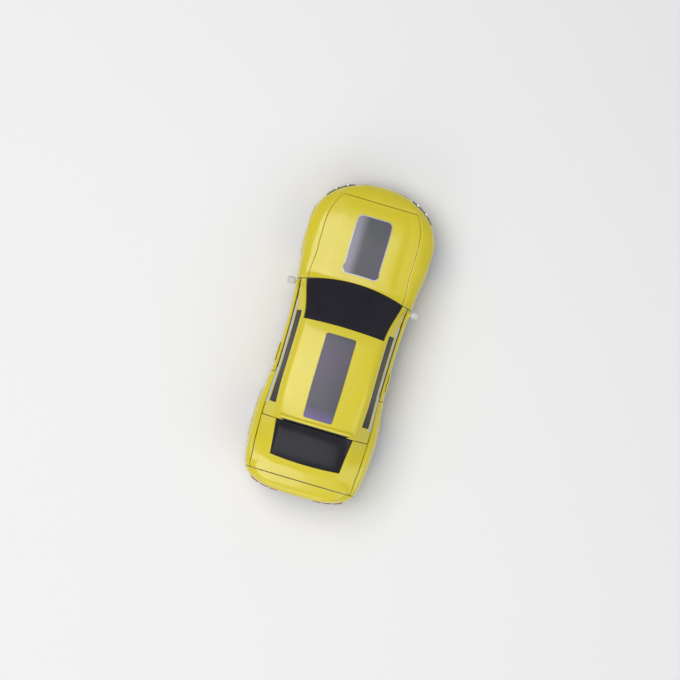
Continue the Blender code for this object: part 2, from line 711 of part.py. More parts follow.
def wheel(word, across, side, home):
    """A rubber tyre on a turned rim."""
    half = WHEEL_WIDTH / 2
    centre = (side * WHEEL_X, across, WHEEL_RADIUS)
    tyre = [(-half, 11.3), (-half, 15.4), (-half + 1.6, 17), (half - 1.6, 17), (half, 15.4),
            (half, 11.3), (half - 1.2, 10.9), (-half + 1.2, 10.9)]
    turned_part(f"tyre_{word}", tyre, centre, RUBBER, home)
    rim = [(-5.2, 1.9), (-5.2, 10.5), (5.6, 10.5), (5.6, 9.4), (-2, 8.6), (-2, 4), (4, 3.4), (4, 1.9)]
    if side < 0:
        rim = [(-place, radius) for place, radius in reversed(rim)]
    turned_part(f"rim_{word}", rim, centre, SILVER, home)


def build_steering():
    """Knuckles turn on kingpins in the front beam; a tie rod keeps them together."""
    pin_y = FRONT_AXLE_Y + STEERING_ARM
    rod = add_object("tie_rod", box_shape((-32.4, 32.4), (pin_y - 2, pin_y + 2), (15.6, 17.6)), STEEL,
                     TIE_ROD)
    for word, side in SIDES:
        turn = joint_empty(f"steering_{word}", (side * KINGPIN_X, FRONT_AXLE_Y, WHEEL_RADIUS), CLIP)
        knuckle = add_object(f"knuckle_{word}",
                             box_shape(side_range(28.8, 33.2, side), (-80.5, -75.5), (11.8, 22.7)),
                             GREY, turn)
        join(knuckle, rod_shape("Z", (side * KINGPIN_X, FRONT_AXLE_Y, 17.2), 1.0, 17.4, 16))
        join(knuckle, rod_shape("X", (side * 38.6, FRONT_AXLE_Y, WHEEL_RADIUS), AXLE_RADIUS, 13, 20))
        join(knuckle, box_shape(side_range(29.4, 32.2, side), (-77, pin_y + 1.6), (12.6, 15.2)))
        join(knuckle, rod_shape("Z", (side * KINGPIN_X, pin_y, 16), 0.7, 4, 12))
        cut(rod, rod_shape("Z", (side * KINGPIN_X, pin_y, 16), 1.35, 10, 16))
        spin = joint_empty(f"front_wheel_{word}_turn", (side * WHEEL_X, FRONT_AXLE_Y, WHEEL_RADIUS),
                           turn)
        wheel(f"front_{word}", FRONT_AXLE_Y, side, spin)
        wheel(f"rear_{word}", REAR_AXLE_Y, side, REAR_WHEELS)


build_clip()
build_head()
build_steering()
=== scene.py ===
import json
import math

import bmesh
import bpy
from mathutils import Matrix, Vector
from mathutils.bvhtree import BVHTree


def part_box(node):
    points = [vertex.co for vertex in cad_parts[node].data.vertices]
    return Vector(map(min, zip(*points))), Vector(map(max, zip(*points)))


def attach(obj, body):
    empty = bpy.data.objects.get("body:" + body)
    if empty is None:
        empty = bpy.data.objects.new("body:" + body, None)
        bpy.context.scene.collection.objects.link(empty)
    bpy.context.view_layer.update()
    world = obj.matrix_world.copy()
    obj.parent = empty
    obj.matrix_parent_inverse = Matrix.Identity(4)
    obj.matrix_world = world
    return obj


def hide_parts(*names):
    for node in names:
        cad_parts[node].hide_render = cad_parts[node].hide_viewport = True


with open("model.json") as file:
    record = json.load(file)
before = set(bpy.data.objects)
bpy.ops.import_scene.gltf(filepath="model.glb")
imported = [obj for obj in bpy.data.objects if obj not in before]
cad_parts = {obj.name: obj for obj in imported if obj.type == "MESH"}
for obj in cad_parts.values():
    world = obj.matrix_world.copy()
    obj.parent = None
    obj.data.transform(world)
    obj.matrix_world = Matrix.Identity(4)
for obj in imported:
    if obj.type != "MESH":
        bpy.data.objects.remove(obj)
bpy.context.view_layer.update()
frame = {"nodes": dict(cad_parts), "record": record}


# ------------------------------------------------------------------ studio
# The toy stands on a plain pale table top under three soft lamps. The camera looks straight
# down on the roof, turned so that the nose points up and a little to the right.

MM = 0.001
NOSE_TURN = math.radians(16.4)
CAMERA_PLACE = (0.0006, -0.0010, 2.19)
CAMERA_LENS = 146.0
LAMP_AIM = Vector((0.0, 0.0, 0.03))
SKY_COLOUR = (0.86, 0.88, 0.92, 1.0)
SKY_STRENGTH = 0.4
FLOOR_HALF = 4.0


def put_in_scene(name, data):
    """A new object that holds the data, linked into the scene."""
    made = bpy.data.objects.new(name, data)
    bpy.context.scene.collection.objects.link(made)
    return made


camera_data = bpy.data.cameras.new("camera")
camera_data.lens = CAMERA_LENS
camera_data.sensor_width = 36.0
camera_data.clip_start = 0.05
camera_data.clip_end = 20.0
camera = put_in_scene("camera", camera_data)
up = Vector((math.sin(NOSE_TURN), -math.cos(NOSE_TURN), 0.0))
back = Vector((0.0, 0.0, 1.0))
turned = Matrix((up.cross(back), up, back)).transposed().to_4x4()
camera.matrix_world = Matrix.Translation(CAMERA_PLACE) @ turned
bpy.context.scene.camera = camera


def soft_lamp(name, place, size, watts, colour=(1.0, 1.0, 1.0)):
    """A square softbox that points at the car."""
    data = bpy.data.lights.new(name, "AREA")
    data.size = size
    data.energy = watts
    data.color = colour
    lamp = put_in_scene(name, data)
    lamp.location = place
    lamp.rotation_euler = (LAMP_AIM - Vector(place)).to_track_quat("-Z", "Y").to_euler()


soft_lamp("key_lamp", (0.55, -0.1, 1.6), 1.3, 17.5, (1.0, 0.98, 0.95))
soft_lamp("fill_lamp", (-1.0, 0.6, 1.2), 1.1, 4.5, (0.95, 0.97, 1.0))
soft_lamp("rim_lamp", (0.2, 1.3, 0.8), 0.8, 3.5)

world = bpy.data.worlds.new("studio")
world.use_nodes = True
world.node_tree.nodes["Background"].inputs["Color"].default_value = SKY_COLOUR
world.node_tree.nodes["Background"].inputs["Strength"].default_value = SKY_STRENGTH
bpy.context.scene.world = world
bpy.context.scene.view_settings.view_transform = "Standard"


def node_material(name, roughness, metallic=0.0):
    """A material with its Principled shader, and the two handles that fill it."""
    made = bpy.data.materials.new(name)
    made.use_nodes = True
    shader = made.node_tree.nodes["Principled BSDF"]
    shader.inputs["Roughness"].default_value = roughness
    shader.inputs["Metallic"].default_value = metallic
    return made, made.node_tree, shader


def add_node(tree, kind, **values):
    """A shader node with inputs set by name, where an underscore stands for a space."""
    node = tree.nodes.new(f"ShaderNode{kind}")
    for label, value in values.items():
        node.inputs[label.replace("_", " ")].default_value = value
    return node


def colour_mix(tree, **ends):
    """A mix of two colours; the ends A and B are given here or linked later."""
    mix = tree.nodes.new("ShaderNodeMix")
    mix.data_type = "RGBA"
    for end, colour in ends.items():
        mix.inputs[end].default_value = (*colour, 1.0)
    return mix


def wire(tree, *joins):
    """Links between nodes, each as (from node, its output, to node, its input)."""
    for source, output, target, socket in joins:
        tree.links.new(source.outputs[output], target.inputs[socket])


def paper_floor():
    """Matt backdrop paper with a faint mottle."""
    made, tree, shader = node_material("backdrop_paper", 0.85)
    noise = add_node(tree, "TexNoise", Scale=9.0, Detail=6.0)
    tint = colour_mix(tree, A=(0.84, 0.84, 0.85), B=(0.88, 0.88, 0.88))
    wire(tree, (noise, "Fac", tint, "Factor"), (tint, "Result", shader, "Base Color"))
    return made


floor_mesh = bpy.data.meshes.new("floor")
floor_bm = bmesh.new()
bmesh.ops.create_grid(floor_bm, x_segments=1, y_segments=1, size=FLOOR_HALF)
floor_bm.to_mesh(floor_mesh)
floor_bm.free()
floor_mesh.materials.append(paper_floor())
put_in_scene("floor", floor_mesh)


# ------------------------------------------------------------------ shared surface effects
# Every moulding shows the same few things: a fine grain from the tool, slow colour drift in the
# plastic, rubbed edges, and dust that settles on what faces up. Each is one shader node group.

COLOR = "NodeSocketColor"
NUMBER = "NodeSocketFloat"
MID_GREY = (0.5, 0.5, 0.5, 1.0)


def new_group(name, taken, given):
    """A shader node group; taken is (socket, kind, value) rows and given is (socket, kind)."""
    group = bpy.data.node_groups.new(name, "ShaderNodeTree")
    for label, kind, value in taken:
        socket = group.interface.new_socket(name=label, in_out="INPUT", socket_type=kind)
        socket.default_value = value
    for label, kind in given:
        group.interface.new_socket(name=label, in_out="OUTPUT", socket_type=kind)
    return group, group.nodes.new("NodeGroupInput"), group.nodes.new("NodeGroupOutput")


def calculation(tree, operation):
    """A node that does one sum on its inputs."""
    node = tree.nodes.new("ShaderNodeMath")
    node.operation = operation
    return node


def make_moulded_finish():
    """Colour drift, gloss drift and tool grain of an injection moulding."""
    group, entry, result = new_group("moulded_finish", [
        ("Plastic", COLOR, MID_GREY),
        ("Drift", COLOR, (0.45, 0.45, 0.45, 1.0)),
        ("Drift Scale", NUMBER, 35.0),
        ("Grain Scale", NUMBER, 1800.0),
        ("Gloss From", NUMBER, 0.25),
        ("Gloss To", NUMBER, 0.4),
    ], [("Color", COLOR), ("Roughness", NUMBER), ("Height", NUMBER)])
    place = add_node(group, "TexCoord")
    drift = add_node(group, "TexNoise", Detail=5.0)
    grain = add_node(group, "TexNoise", Detail=3.0)
    blend = colour_mix(group)
    gloss = add_node(group, "MapRange", From_Min=0.3, From_Max=0.7)
    wire(group,
         (place, "Object", drift, "Vector"),
         (place, "Object", grain, "Vector"),
         (entry, "Drift Scale", drift, "Scale"),
         (entry, "Grain Scale", grain, "Scale"),
         (drift, "Fac", blend, "Factor"),
         (entry, "Plastic", blend, "A"),
         (entry, "Drift", blend, "B"),
         (drift, "Fac", gloss, "Value"),
         (entry, "Gloss From", gloss, "To Min"),
         (entry, "Gloss To", gloss, "To Max"),
         (blend, "Result", result, "Color"),
         (gloss, "Result", result, "Roughness"),
         (grain, "Fac", result, "Height"))
    return group


def make_patchy_layer(name, layer, layer_colour, amount, scale, detail, measure):
    """A layer over a colour, broken up by noise; measure adds what says where it lies."""
    group, entry, result = new_group(name, [
        ("Color", COLOR, MID_GREY),
        (layer, COLOR, layer_colour),
        ("Amount", NUMBER, amount),
    ], [("Color", COLOR)])
    where, output = measure(group, add_node(group, "NewGeometry"))
    patches = add_node(group, "TexNoise", Scale=scale, Detail=detail)
    broken = calculation(group, "MULTIPLY")
    share = calculation(group, "MULTIPLY")
    blend = colour_mix(group)
    wire(group,
         (add_node(group, "TexCoord"), "Object", patches, "Vector"),
         (where, output, broken, 0),
         (patches, "Fac", broken, 1),
         (broken, "Value", share, 0),
         (entry, "Amount", share, 1),
         (share, "Value", blend, "Factor"),
         (entry, "Color", blend, "A"),
         (entry, layer, blend, "B"),
         (blend, "Result", result, "Color"))
    return group


def on_edges(group, shape):
    """Sharp outer edges, which handling rubs first."""
    edge = add_node(group, "MapRange", From_Min=0.52, From_Max=0.62)
    wire(group, (shape, "Pointiness", edge, "Value"))
    return edge, "Result"


def on_tops(group, shape):
    """Whatever faces up, where dust settles."""
    upward = add_node(group, "SeparateXYZ")
    facing = calculation(group, "MAXIMUM")
    facing.inputs[1].default_value = 0.0
    wire(group, (shape, "Normal", upward, "Vector"), (upward, "Z", facing, 0))
    return facing, "Value"


MOULDED_FINISH = make_moulded_finish()
RUBBED_EDGES = make_patchy_layer("rubbed_edges", "Worn", (0.8, 0.8, 0.8, 1.0), 0.4, 160.0, 6.0,
                                 on_edges)
SETTLED_DUST = make_patchy_layer("settled_dust", "Dust", (0.55, 0.53, 0.5, 1.0), 0.06, 55.0, 9.0,
                                 on_tops)


def add_effect(tree, effect, **values):
    """A shared effect placed in a material with its own values."""
    node = tree.nodes.new("ShaderNodeGroup")
    node.node_tree = effect
    for label, value in values.items():
        node.inputs[label.replace("_", " ")].default_value = value
    return node


def fine_relief(tree, strength):
    """Relief a tenth of a millimetre deep at the most."""
    return add_node(tree, "Bump", Strength=strength, Distance=0.1 * MM)


def moulding(name, plastic, drift, gloss, worn, grain=1800.0, bump=0.05, wear=0.4, dust=0.06,
             metallic=0.0, coat=0.0):
    """A finished material: moulded colour, then rubbed edges, then dust, with the tool grain."""
    made, tree, shader = node_material(name, gloss[0], metallic)
    surface = add_effect(tree, MOULDED_FINISH, Plastic=(*plastic, 1.0), Drift=(*drift, 1.0),
                         Grain_Scale=grain, Gloss_From=gloss[0], Gloss_To=gloss[1])
    edges = add_effect(tree, RUBBED_EDGES, Worn=(*worn, 1.0), Amount=wear)
    film = add_effect(tree, SETTLED_DUST, Amount=dust)
    relief = fine_relief(tree, bump)
    shader.inputs["Coat Weight"].default_value = coat
    wire(tree,
         (surface, "Color", edges, "Color"),
         (edges, "Color", film, "Color"),
         (film, "Color", shader, "Base Color"),
         (surface, "Roughness", shader, "Roughness"),
         (surface, "Height", relief, "Height"),
         (relief, "Normal", shader, "Normal"))
    return made


# ------------------------------------------------------------------ body skin
# The whole body is one flowing surface that is cut into separate mouldings. A station is the
# distance back from the nose tip in millimetres; across runs from 0 on the centre line to 1 at
# the bottom edge of the side. All skins are moulded in glossy lemon-yellow ABS.

LENGTH = 250.0
ROCKER_Z = 8.0
NOSE_ROUND = 42.0
NOSE_POWER = 2.3
TAIL_ROUND = 25.0
TAIL_POWER = 3.5
ROOF_EDGE = 0.3
BELT = 0.5
FRONT_AXLE_Y = -78.0
REAR_AXLE_Y = 72.0
WHEEL_RADIUS = 17.0
ARCH_RADIUS = 19.5
SKIN_WALL = 1.5
MERGE_DISTANCE = 0.002


def smooth_curve(knots):
    """A curve through its knots that never overshoots them (monotone cubic)."""
    xs = [knot[0] for knot in knots]
    ys = [knot[1] for knot in knots]
    steps = [xs[i + 1] - xs[i] for i in range(len(xs) - 1)]
    slopes = [(ys[i + 1] - ys[i]) / steps[i] for i in range(len(steps))]
    tangents = [slopes[0]]
    for before, after in zip(slopes, slopes[1:]):
        tangents.append(0.0 if before * after <= 0.0 else 2 * before * after / (before + after))
    tangents.append(slopes[-1])

    def value(x):
        x = min(max(x, xs[0]), xs[-1])
        index = 0
        while index < len(steps) - 1 and x > xs[index + 1]:
            index += 1
        t = (x - xs[index]) / steps[index]
        rise = ys[index + 1] - ys[index]
        start = tangents[index] * steps[index]
        end = tangents[index + 1] * steps[index]
        return ys[index] + t * (start + t * (3 * rise - 2 * start - end
                                             + t * (start + end - 2 * rise)))

    return value


side_width = smooth_curve([(0, 50), (50, 50), (80, 47.5), (105, 45.6), (125, 45), (150, 45.4),
                           (175, 47.6), (195, 49), (215, 48.6), (230, 47), (250, 44)])
top_height = smooth_curve([(0, 31), (4, 35.5), (10, 39), (20, 42), (40, 45), (78, 48.3),
                           (82, 49.8), (98, 58.6), (114, 66), (126, 68.6), (150, 70),
                           (175, 69.4), (191, 67.9), (197, 66.6), (225, 55.4), (231, 54),
                           (243, 54), (248, 52.5), (250, 49)])
roof_width = smooth_curve([(0, 0.8), (60, 0.8), (80, 0.86), (114, 0.735), (150, 0.735),
                           (190, 0.65), (225, 0.58), (236, 0.78), (250, 0.8)])
belt_width = smooth_curve([(0, 0.92), (78, 0.91), (120, 0.92), (180, 0.89), (225, 0.88),
                           (250, 0.92)])
edge_drop = smooth_curve([(0, 1.5), (70, 1.3), (84, 2.2), (120, 2.4), (190, 2.4), (225, 1.2),
                          (250, 1.2)])
belt_height = smooth_curve([(0, 27), (10, 34), (25, 38.5), (45, 41.5), (80, 45), (110, 47),
                            (180, 48.5), (220, 50), (240, 49.5), (250, 45)])
crossing_bow = smooth_curve([(0, 0), (58, 0), (79, 6), (114, 2), (135, 0), (200, 0),
                             (225, -3), (238, 0), (250, 0)])


def round_end(distance, reach, power):
    """How far the plan outline has opened at a distance from a rounded end."""
    if distance >= reach:
        return 1.0
    return (1.0 - (1.0 - distance / reach) ** power) ** (1.0 / power)


def skin_controls(station):
    """Half a cross-section's control points, from the centre line to the bottom edge."""
    width = side_width(station) * round_end(station, NOSE_ROUND, NOSE_POWER)
    width *= round_end(LENGTH - station, TAIL_ROUND, TAIL_POWER)
    top = top_height(station)
    edge = roof_width(station) * width
    belt = belt_width(station) * width
    drop = edge_drop(station)
    shoulder = belt_height(station)
    rise = shoulder - ROCKER_Z
    return [
        (0.0, top),
        (edge * 0.4, top - drop * 0.16),
        (edge * 0.8, top - drop * 0.55),
        (edge, top - drop),
        ((edge + belt) / 2, (top - drop + shoulder) / 2),
        (belt, shoulder),
        (belt + (width - belt) * 0.7, shoulder - 1.5),
        (width, ROCKER_Z + rise * 0.68),
        (width, ROCKER_Z + rise * 0.42),
        (width * 0.975, ROCKER_Z + rise * 0.18),
        (width * 0.94, ROCKER_Z),
    ]


def skin_section(points, across):
    """A point (x, z) on the smooth curve of a section's control points."""
    last = len(points) - 1
    before = (-points[1][0], points[1][1])
    after = tuple(2 * end - inner for end, inner in zip(points[last], points[last - 1]))
    padded = [before, *points, after]
    place = min(max(across, 0.0), 1.0) * last
    index = min(int(place), last - 1)
    t = place - index
    weights = ((1 - t) ** 3, 3 * t ** 3 - 6 * t ** 2 + 4,
               -3 * t ** 3 + 3 * t ** 2 + 3 * t + 1, t ** 3)
    return tuple(sum(weight * padded[index + k][axis] for k, weight in enumerate(weights)) / 6
                 for axis in (0, 1))


def ease(low, high, value):
    """Smooth rise from 0 at low to 1 at high."""
    t = min(max((value - low) / (high - low), 0.0), 1.0)
    return t * t * (3 - 2 * t)


def body_relief(station, across, point):
    """Pressed-in and raised lines: power bulge, shoulder line, arch lips and sill, in mm."""
    place = abs(across)
    bulge = 0.7 * (1 - ease(0.155, 0.19, place)) * ease(14, 24, station) * (1 - ease(70, 77, station))
    fender = 0.35 * ease(0.26, 0.3, place) * (1 - ease(0.42, 0.5, place)) * ease(22, 40, station)
    fender *= 1 - ease(66, 78, station)
    raised = bulge + fender
    if place > BELT:
        shoulder = ease(0.53, 0.57, place) * (1 - ease(0.57, 0.66, place))
        raised += 0.45 * shoulder * ease(60, 90, station) * (1 - ease(225, 240, station))
        sill = ease(0.86, 0.885, place) * ease(70, 80, station) * (1 - ease(176, 184, station))
        raised += 0.8 * sill
        for axle_y in (FRONT_AXLE_Y, REAR_AXLE_Y):
            reach = math.hypot(point.y - axle_y, point.z - WHEEL_RADIUS)
            raised += 0.9 * (1 - ease(ARCH_RADIUS + 1.6, ARCH_RADIUS + 3.4, reach))
    return raised


def skin_point(station, across):
    """A point of the body skin in mm. Cross lines of the cabin bow towards the sides."""
    side = -1.0 if across < 0.0 else 1.0
    x, _ = skin_section(skin_controls(station), abs(across))
    bowed = min(station + crossing_bow(station) * (x / 40.0) ** 2, LENGTH)
    x, z = skin_section(skin_controls(bowed), abs(across))
    return Vector((side * x, bowed - LENGTH / 2, z))


def steps(low, high, count, power=1.0):
    """Evenly spaced values, or crowded towards the low end when power is above 1."""
    return [low + (high - low) * (i / count) ** power for i in range(count + 1)]


def mirrored(places):
    """The same places on the other side of the car."""
    return [-place for place in reversed(places)]


def both_sides(places):
    """Places from one edge to the other through the centre line."""
    return mirrored(places)[:-1] + list(places)


def side_places(places, side):
    """Places along one flank."""
    return places if side > 0 else mirrored(places)


SIDES = (("left", 1.0), ("right", -1.0))


def everywhere(_station, _across):
    """The whole grid is kept."""
    return True


def join_rings(bm, rings, closed=True, capped=False, flip=False):
    """Faces between each row of vertices and the next; closed rows join end to start."""
    count = len(rings[0])
    for near, far in zip(rings, rings[1:]):
        for k in range(count if closed else count - 1):
            after = (k + 1) % count
            corners = (near[k], near[after], far[after], far[k])
            bm.faces.new(tuple(reversed(corners)) if flip else corners)
    if capped:
        bm.faces.new(tuple(reversed(rings[0])))
        bm.faces.new(rings[-1])


def link_piece(name, bm, finish=None, smooth=True):
    """Turn a bmesh drawn in millimetres into a linked object."""
    bmesh.ops.scale(bm, vec=(MM, MM, MM), verts=bm.verts)
    mesh = bpy.data.meshes.new(name)
    bm.to_mesh(mesh)
    bm.free()
    if finish:
        mesh.materials.append(finish)
    if smooth:
        mesh.shade_smooth()
    return put_in_scene(name, mesh)


def fit(piece, body, slot, *stands_for):
    """Every piece moves with one body and may hide nodes; the slot is not used."""
    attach(piece, body)
    if stands_for:
        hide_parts(*stands_for)
    return piece


def break_edges(piece, width, segments=3, angle=45.0):
    """Round a piece's sharp edges and keep its faces' shading flat."""
    bevel = piece.modifiers.new("broken_edges", "BEVEL")
    bevel.width = width * MM
    bevel.segments = segments
    bevel.limit_method = "ANGLE"
    bevel.angle_limit = math.radians(angle)
    bevel.harden_normals = True


def thicken(piece, wall):
    """Give a sheet its wall, inwards from the face that shows."""
    solidify = piece.modifiers.new("wall", "SOLIDIFY")
    solidify.thickness = wall * MM
    solidify.offset = -1.0


def arch_cutter(axle_y, side):
    """A cylinder that opens a wheel arch."""
    bm = bmesh.new()
    bmesh.ops.create_cone(bm, cap_ends=True, segments=96, radius1=ARCH_RADIUS,
                          radius2=ARCH_RADIUS, depth=40)
    bmesh.ops.rotate(bm, matrix=Matrix.Rotation(math.radians(90.0), 3, "Y"), verts=bm.verts)
    bmesh.ops.translate(bm, vec=(side * 50.0, axle_y, WHEEL_RADIUS), verts=bm.verts)
    return link_piece("arch_cutter", bm, smooth=False)


def open_arches(panel, arches):
    """Cut wheel arches (axle_y, side) through a thickened panel, ahead of its rounded edges."""
    cutters = [arch_cutter(axle_y, side) for axle_y, side in arches]
    for cutter in cutters:
        hole = panel.modifiers.new("arch", "BOOLEAN")
        hole.operation = "DIFFERENCE"
        hole.object = cutter
        hole.solver = "EXACT"
    graph = bpy.context.evaluated_depsgraph_get()
    cut_mesh = bpy.data.meshes.new_from_object(panel.evaluated_get(graph))
    panel.modifiers.clear()
    panel.data = cut_mesh
    for cutter in cutters:
        bpy.data.objects.remove(cutter)


def skin_panel(name, stations, places, finish, keep=everywhere, thickness=SKIN_WALL, lift=0.0,
               relief=True, edge=0.3, arches=()):
    """A panel of the body skin with real thickness and rounded edges.

    The panel lies on the skin and is thickened inwards; lift moves its outer face outwards.
    """
    bm = bmesh.new()
    grid = [[bm.verts.new(skin_point(station, place)) for place in places] for station in stations]
    sources = {vert: (station, place) for row, station in zip(grid, stations)
               for vert, place in zip(row, places)}
    for i in range(len(stations) - 1):
        for j in range(len(places) - 1):
            middle = ((stations[i] + stations[i + 1]) / 2, (places[j] + places[j + 1]) / 2)
            if keep(*middle):
                bm.faces.new((grid[i][j], grid[i][j + 1], grid[i + 1][j + 1], grid[i + 1][j]))
    bm.normal_update()
    shifts = {}
    for vert, (station, place) in sources.items():
        offset = lift + (body_relief(station, place, vert.co) if relief else 0.0)
        shifts[vert] = vert.normal * offset
    for vert, shift in shifts.items():
        vert.co += shift
    loose = [vert for vert in bm.verts if not vert.link_faces]
    bmesh.ops.delete(bm, geom=loose, context="VERTS")
    bmesh.ops.remove_doubles(bm, verts=bm.verts, dist=MERGE_DISTANCE)
    panel = link_piece(name, bm, finish)
    thicken(panel, thickness)
    if arches:
        open_arches(panel, arches)
    if edge:
        break_edges(panel, edge)
    return panel


YELLOW = moulding("yellow_body_gloss", (0.72, 0.61, 0.012), (0.64, 0.54, 0.009), (0.22, 0.34),
                  (0.86, 0.8, 0.25), grain=420.0, bump=0.12, wear=0.35, dust=0.05, coat=0.35)
YELLOW.node_tree.nodes["Principled BSDF"].inputs["Coat Roughness"].default_value = 0.08


# ------------------------------------------------------------------ front shell
# Hood, fenders and nose cover of the clip. The real piece is one deep moulding with engraved
# shut lines; here hood and nose cover are separate skins with true gaps over a black liner.

HOOD_END = 78.6
HOOD_START = 13.0
SHUT_LINE = 0.0045
HOOD_EDGE = ROOF_EDGE - 0.02


def outside_hood(station, across):
    """The fenders and nose: everything but the hood."""
    return station < HOOD_START or abs(across) > HOOD_EDGE


nose_rows = steps(0.0, HOOD_START, 16, 2.2) + steps(HOOD_START, 40.0, 16)[1:]
nose_rows += steps(40.0, HOOD_END, 26)[1:]
half_places = steps(0.0, HOOD_EDGE, 16) + steps(HOOD_EDGE, 1.0, 50)[1:]
fenders = fit(skin_panel("nose_and_fenders", nose_rows, both_sides(half_places), YELLOW,
    outside_hood, arches=[(FRONT_AXLE_Y, side) for _word, side in SIDES]), "clip", "yellow_body",
    "front_shell")

hood_places = both_sides(steps(0.0, HOOD_EDGE - SHUT_LINE, 22))
fit(skin_panel("hood", steps(HOOD_START + 0.5, HOOD_END, 44), hood_places, YELLOW), "clip",
    "yellow_body")


# ------------------------------------------------------------------ cabin and tail skins
# Roof moulding with its pillars tips up with the robot's torso; sail panels, deck, rear
# quarters and rear bumper stay on the tail. All are snapped to ribs from inside.

DOOR_START = 79.3
DOOR_END = 161.2
WINDSHIELD_END = 114.0
ROOF_END = 190.9
PILLAR_END = 195.4
TAIL_START = 195.9
REAR_WINDOW_END = 225.0
BUMPER_START = 238.2
SIDE_GLASS = (0.35, 0.45)
SIDE_GLASS_START = 108.0
SIDE_GLASS_END = 184.0
HINGE_REACH = 0.22
ROOF_BOTTOM = 0.488
DECK_BOTTOM = 0.494
QUARTER_TOP = 0.508
DOOR_TOP = 0.534
DOOR_SEAM = 0.5
BUMPER_SEAM = 0.7


def roof_keep(station, across):
    """Roof and pillars, open for the windshield and the side windows."""
    place = abs(across)
    if station < WINDSHIELD_END and place < ROOF_EDGE:
        return False
    if SIDE_GLASS_START < station < SIDE_GLASS_END and SIDE_GLASS[0] < place < SIDE_GLASS[1]:
        return False
    return station < ROOF_END or place > HINGE_REACH


roof_rows = steps(DOOR_START, SIDE_GLASS_START, 18) + steps(SIDE_GLASS_START, WINDSHIELD_END, 4)[1:]
roof_rows += steps(WINDSHIELD_END, SIDE_GLASS_END, 44)[1:]
roof_rows += steps(SIDE_GLASS_END, ROOF_END, 5)[1:] + steps(ROOF_END, PILLAR_END, 3)[1:]
roof_places = steps(0.0, ROOF_EDGE, 18) + steps(ROOF_EDGE, SIDE_GLASS[0], 4)[1:]
roof_places += steps(SIDE_GLASS[0], SIDE_GLASS[1], 6)[1:] + steps(SIDE_GLASS[1], ROOF_BOTTOM, 3)[1:]
fit(skin_panel("roof_and_pillars", roof_rows, both_sides(roof_places), YELLOW, roof_keep), "torso",
    "yellow_body", "roof_shell")


def tail_keep(station, across):
    """Sail panels and deck, open for the rear window."""
    return station > REAR_WINDOW_END or abs(across) > ROOF_EDGE


tail_rows = steps(TAIL_START, REAR_WINDOW_END, 22)
tail_rows += steps(REAR_WINDOW_END, BUMPER_START - BUMPER_SEAM, 12)[1:]
tail_places = steps(0.0, ROOF_EDGE, 18) + steps(ROOF_EDGE, DECK_BOTTOM, 14)[1:]
fit(skin_panel("deck_and_sails", tail_rows, both_sides(tail_places), YELLOW, tail_keep), "base",
    "yellow_body", "tail_shell")

for word, side in SIDES:
    quarter_places = side_places(steps(QUARTER_TOP, 1.0, 38), side)
    fit(skin_panel(f"rear_quarter_skin_{word}",
        steps(DOOR_END + DOOR_SEAM, BUMPER_START - BUMPER_SEAM, 56), quarter_places, YELLOW,
        arches=[(REAR_AXLE_Y, side)]), "base", "yellow_body", f"rear_quarter_{word}")
    door_places = side_places(steps(DOOR_TOP, 1.0, 38), side)
    fit(skin_panel(f"door_skin_{word}", steps(DOOR_START, DOOR_END, 52), door_places, YELLOW),
        f"door_{word}", "yellow_body", f"door_{word}")

bumper_rows = [LENGTH - value for value in reversed(steps(0.0, LENGTH - BUMPER_START, 18, 2.2))]
bumper_places = steps(0.0, ROOF_EDGE, 14) + steps(ROOF_EDGE, 1.0, 44)[1:]
bumper = fit(skin_panel("rear_bumper_skin", bumper_rows, both_sides(bumper_places), YELLOW), "base",
    "yellow_body", "rear_bumper")


# ------------------------------------------------------------------ glazing
# The windows are one-piece inserts of near-black gloss plastic, dropped into the openings from
# outside and heat-staked, so nothing of the inside shows.

def black_glazing():
    """Polished near-black plastic with faint wipe marks."""
    made, tree, shader = node_material("polished_black_glazing", 0.12)
    shader.inputs["Specular IOR Level"].default_value = 0.22
    place = add_node(tree, "TexCoord")
    smears = add_node(tree, "TexNoise", Scale=45.0, Detail=7.0, Distortion=1.2)
    gloss = add_node(tree, "MapRange", To_Min=0.08, To_Max=0.26)
    tint = colour_mix(tree, A=(0.012, 0.011, 0.016), B=(0.024, 0.022, 0.03))
    wire(tree,
         (place, "Object", smears, "Vector"),
         (smears, "Fac", gloss, "Value"),
         (smears, "Fac", tint, "Factor"),
         (gloss, "Result", shader, "Roughness"),
         (tint, "Result", shader, "Base Color"))
    return made


GLAZING = black_glazing()
GLASS_GAP = 0.006
GLASS_SINK = -0.15
GLASS_END_GAP = 0.4

fit(skin_panel("windshield_glass", steps(DOOR_START, WINDSHIELD_END - GLASS_END_GAP, 26),
    both_sides(steps(0.0, ROOF_EDGE - 2 * GLASS_GAP, 20)), GLAZING, lift=GLASS_SINK, relief=False),
    "torso", "dark_glazing", "windshield")

fit(skin_panel("rear_window_glass", steps(TAIL_START, REAR_WINDOW_END - GLASS_END_GAP, 24),
    both_sides(steps(0.0, ROOF_EDGE - GLASS_GAP, 20)), GLAZING, lift=GLASS_SINK, relief=False),
    "base", "dark_glazing", "rear_window")

for word, side in SIDES:
    glass_places = side_places(steps(SIDE_GLASS[0] + GLASS_GAP, SIDE_GLASS[1] - GLASS_GAP, 6), side)
    fit(skin_panel(f"side_glass_{word}", steps(SIDE_GLASS_START + GLASS_END_GAP,
        SIDE_GLASS_END - GLASS_END_GAP, 40), glass_places, GLAZING, lift=GLASS_SINK, relief=False),
        "torso", "dark_glazing", f"side_window_{word}")


# ------------------------------------------------------------------ stripes
# A hood insert and a roof strip of matt, slightly pearly grey-violet film over a thin plastic
# carrier with rounded ends, bonded onto the skin.

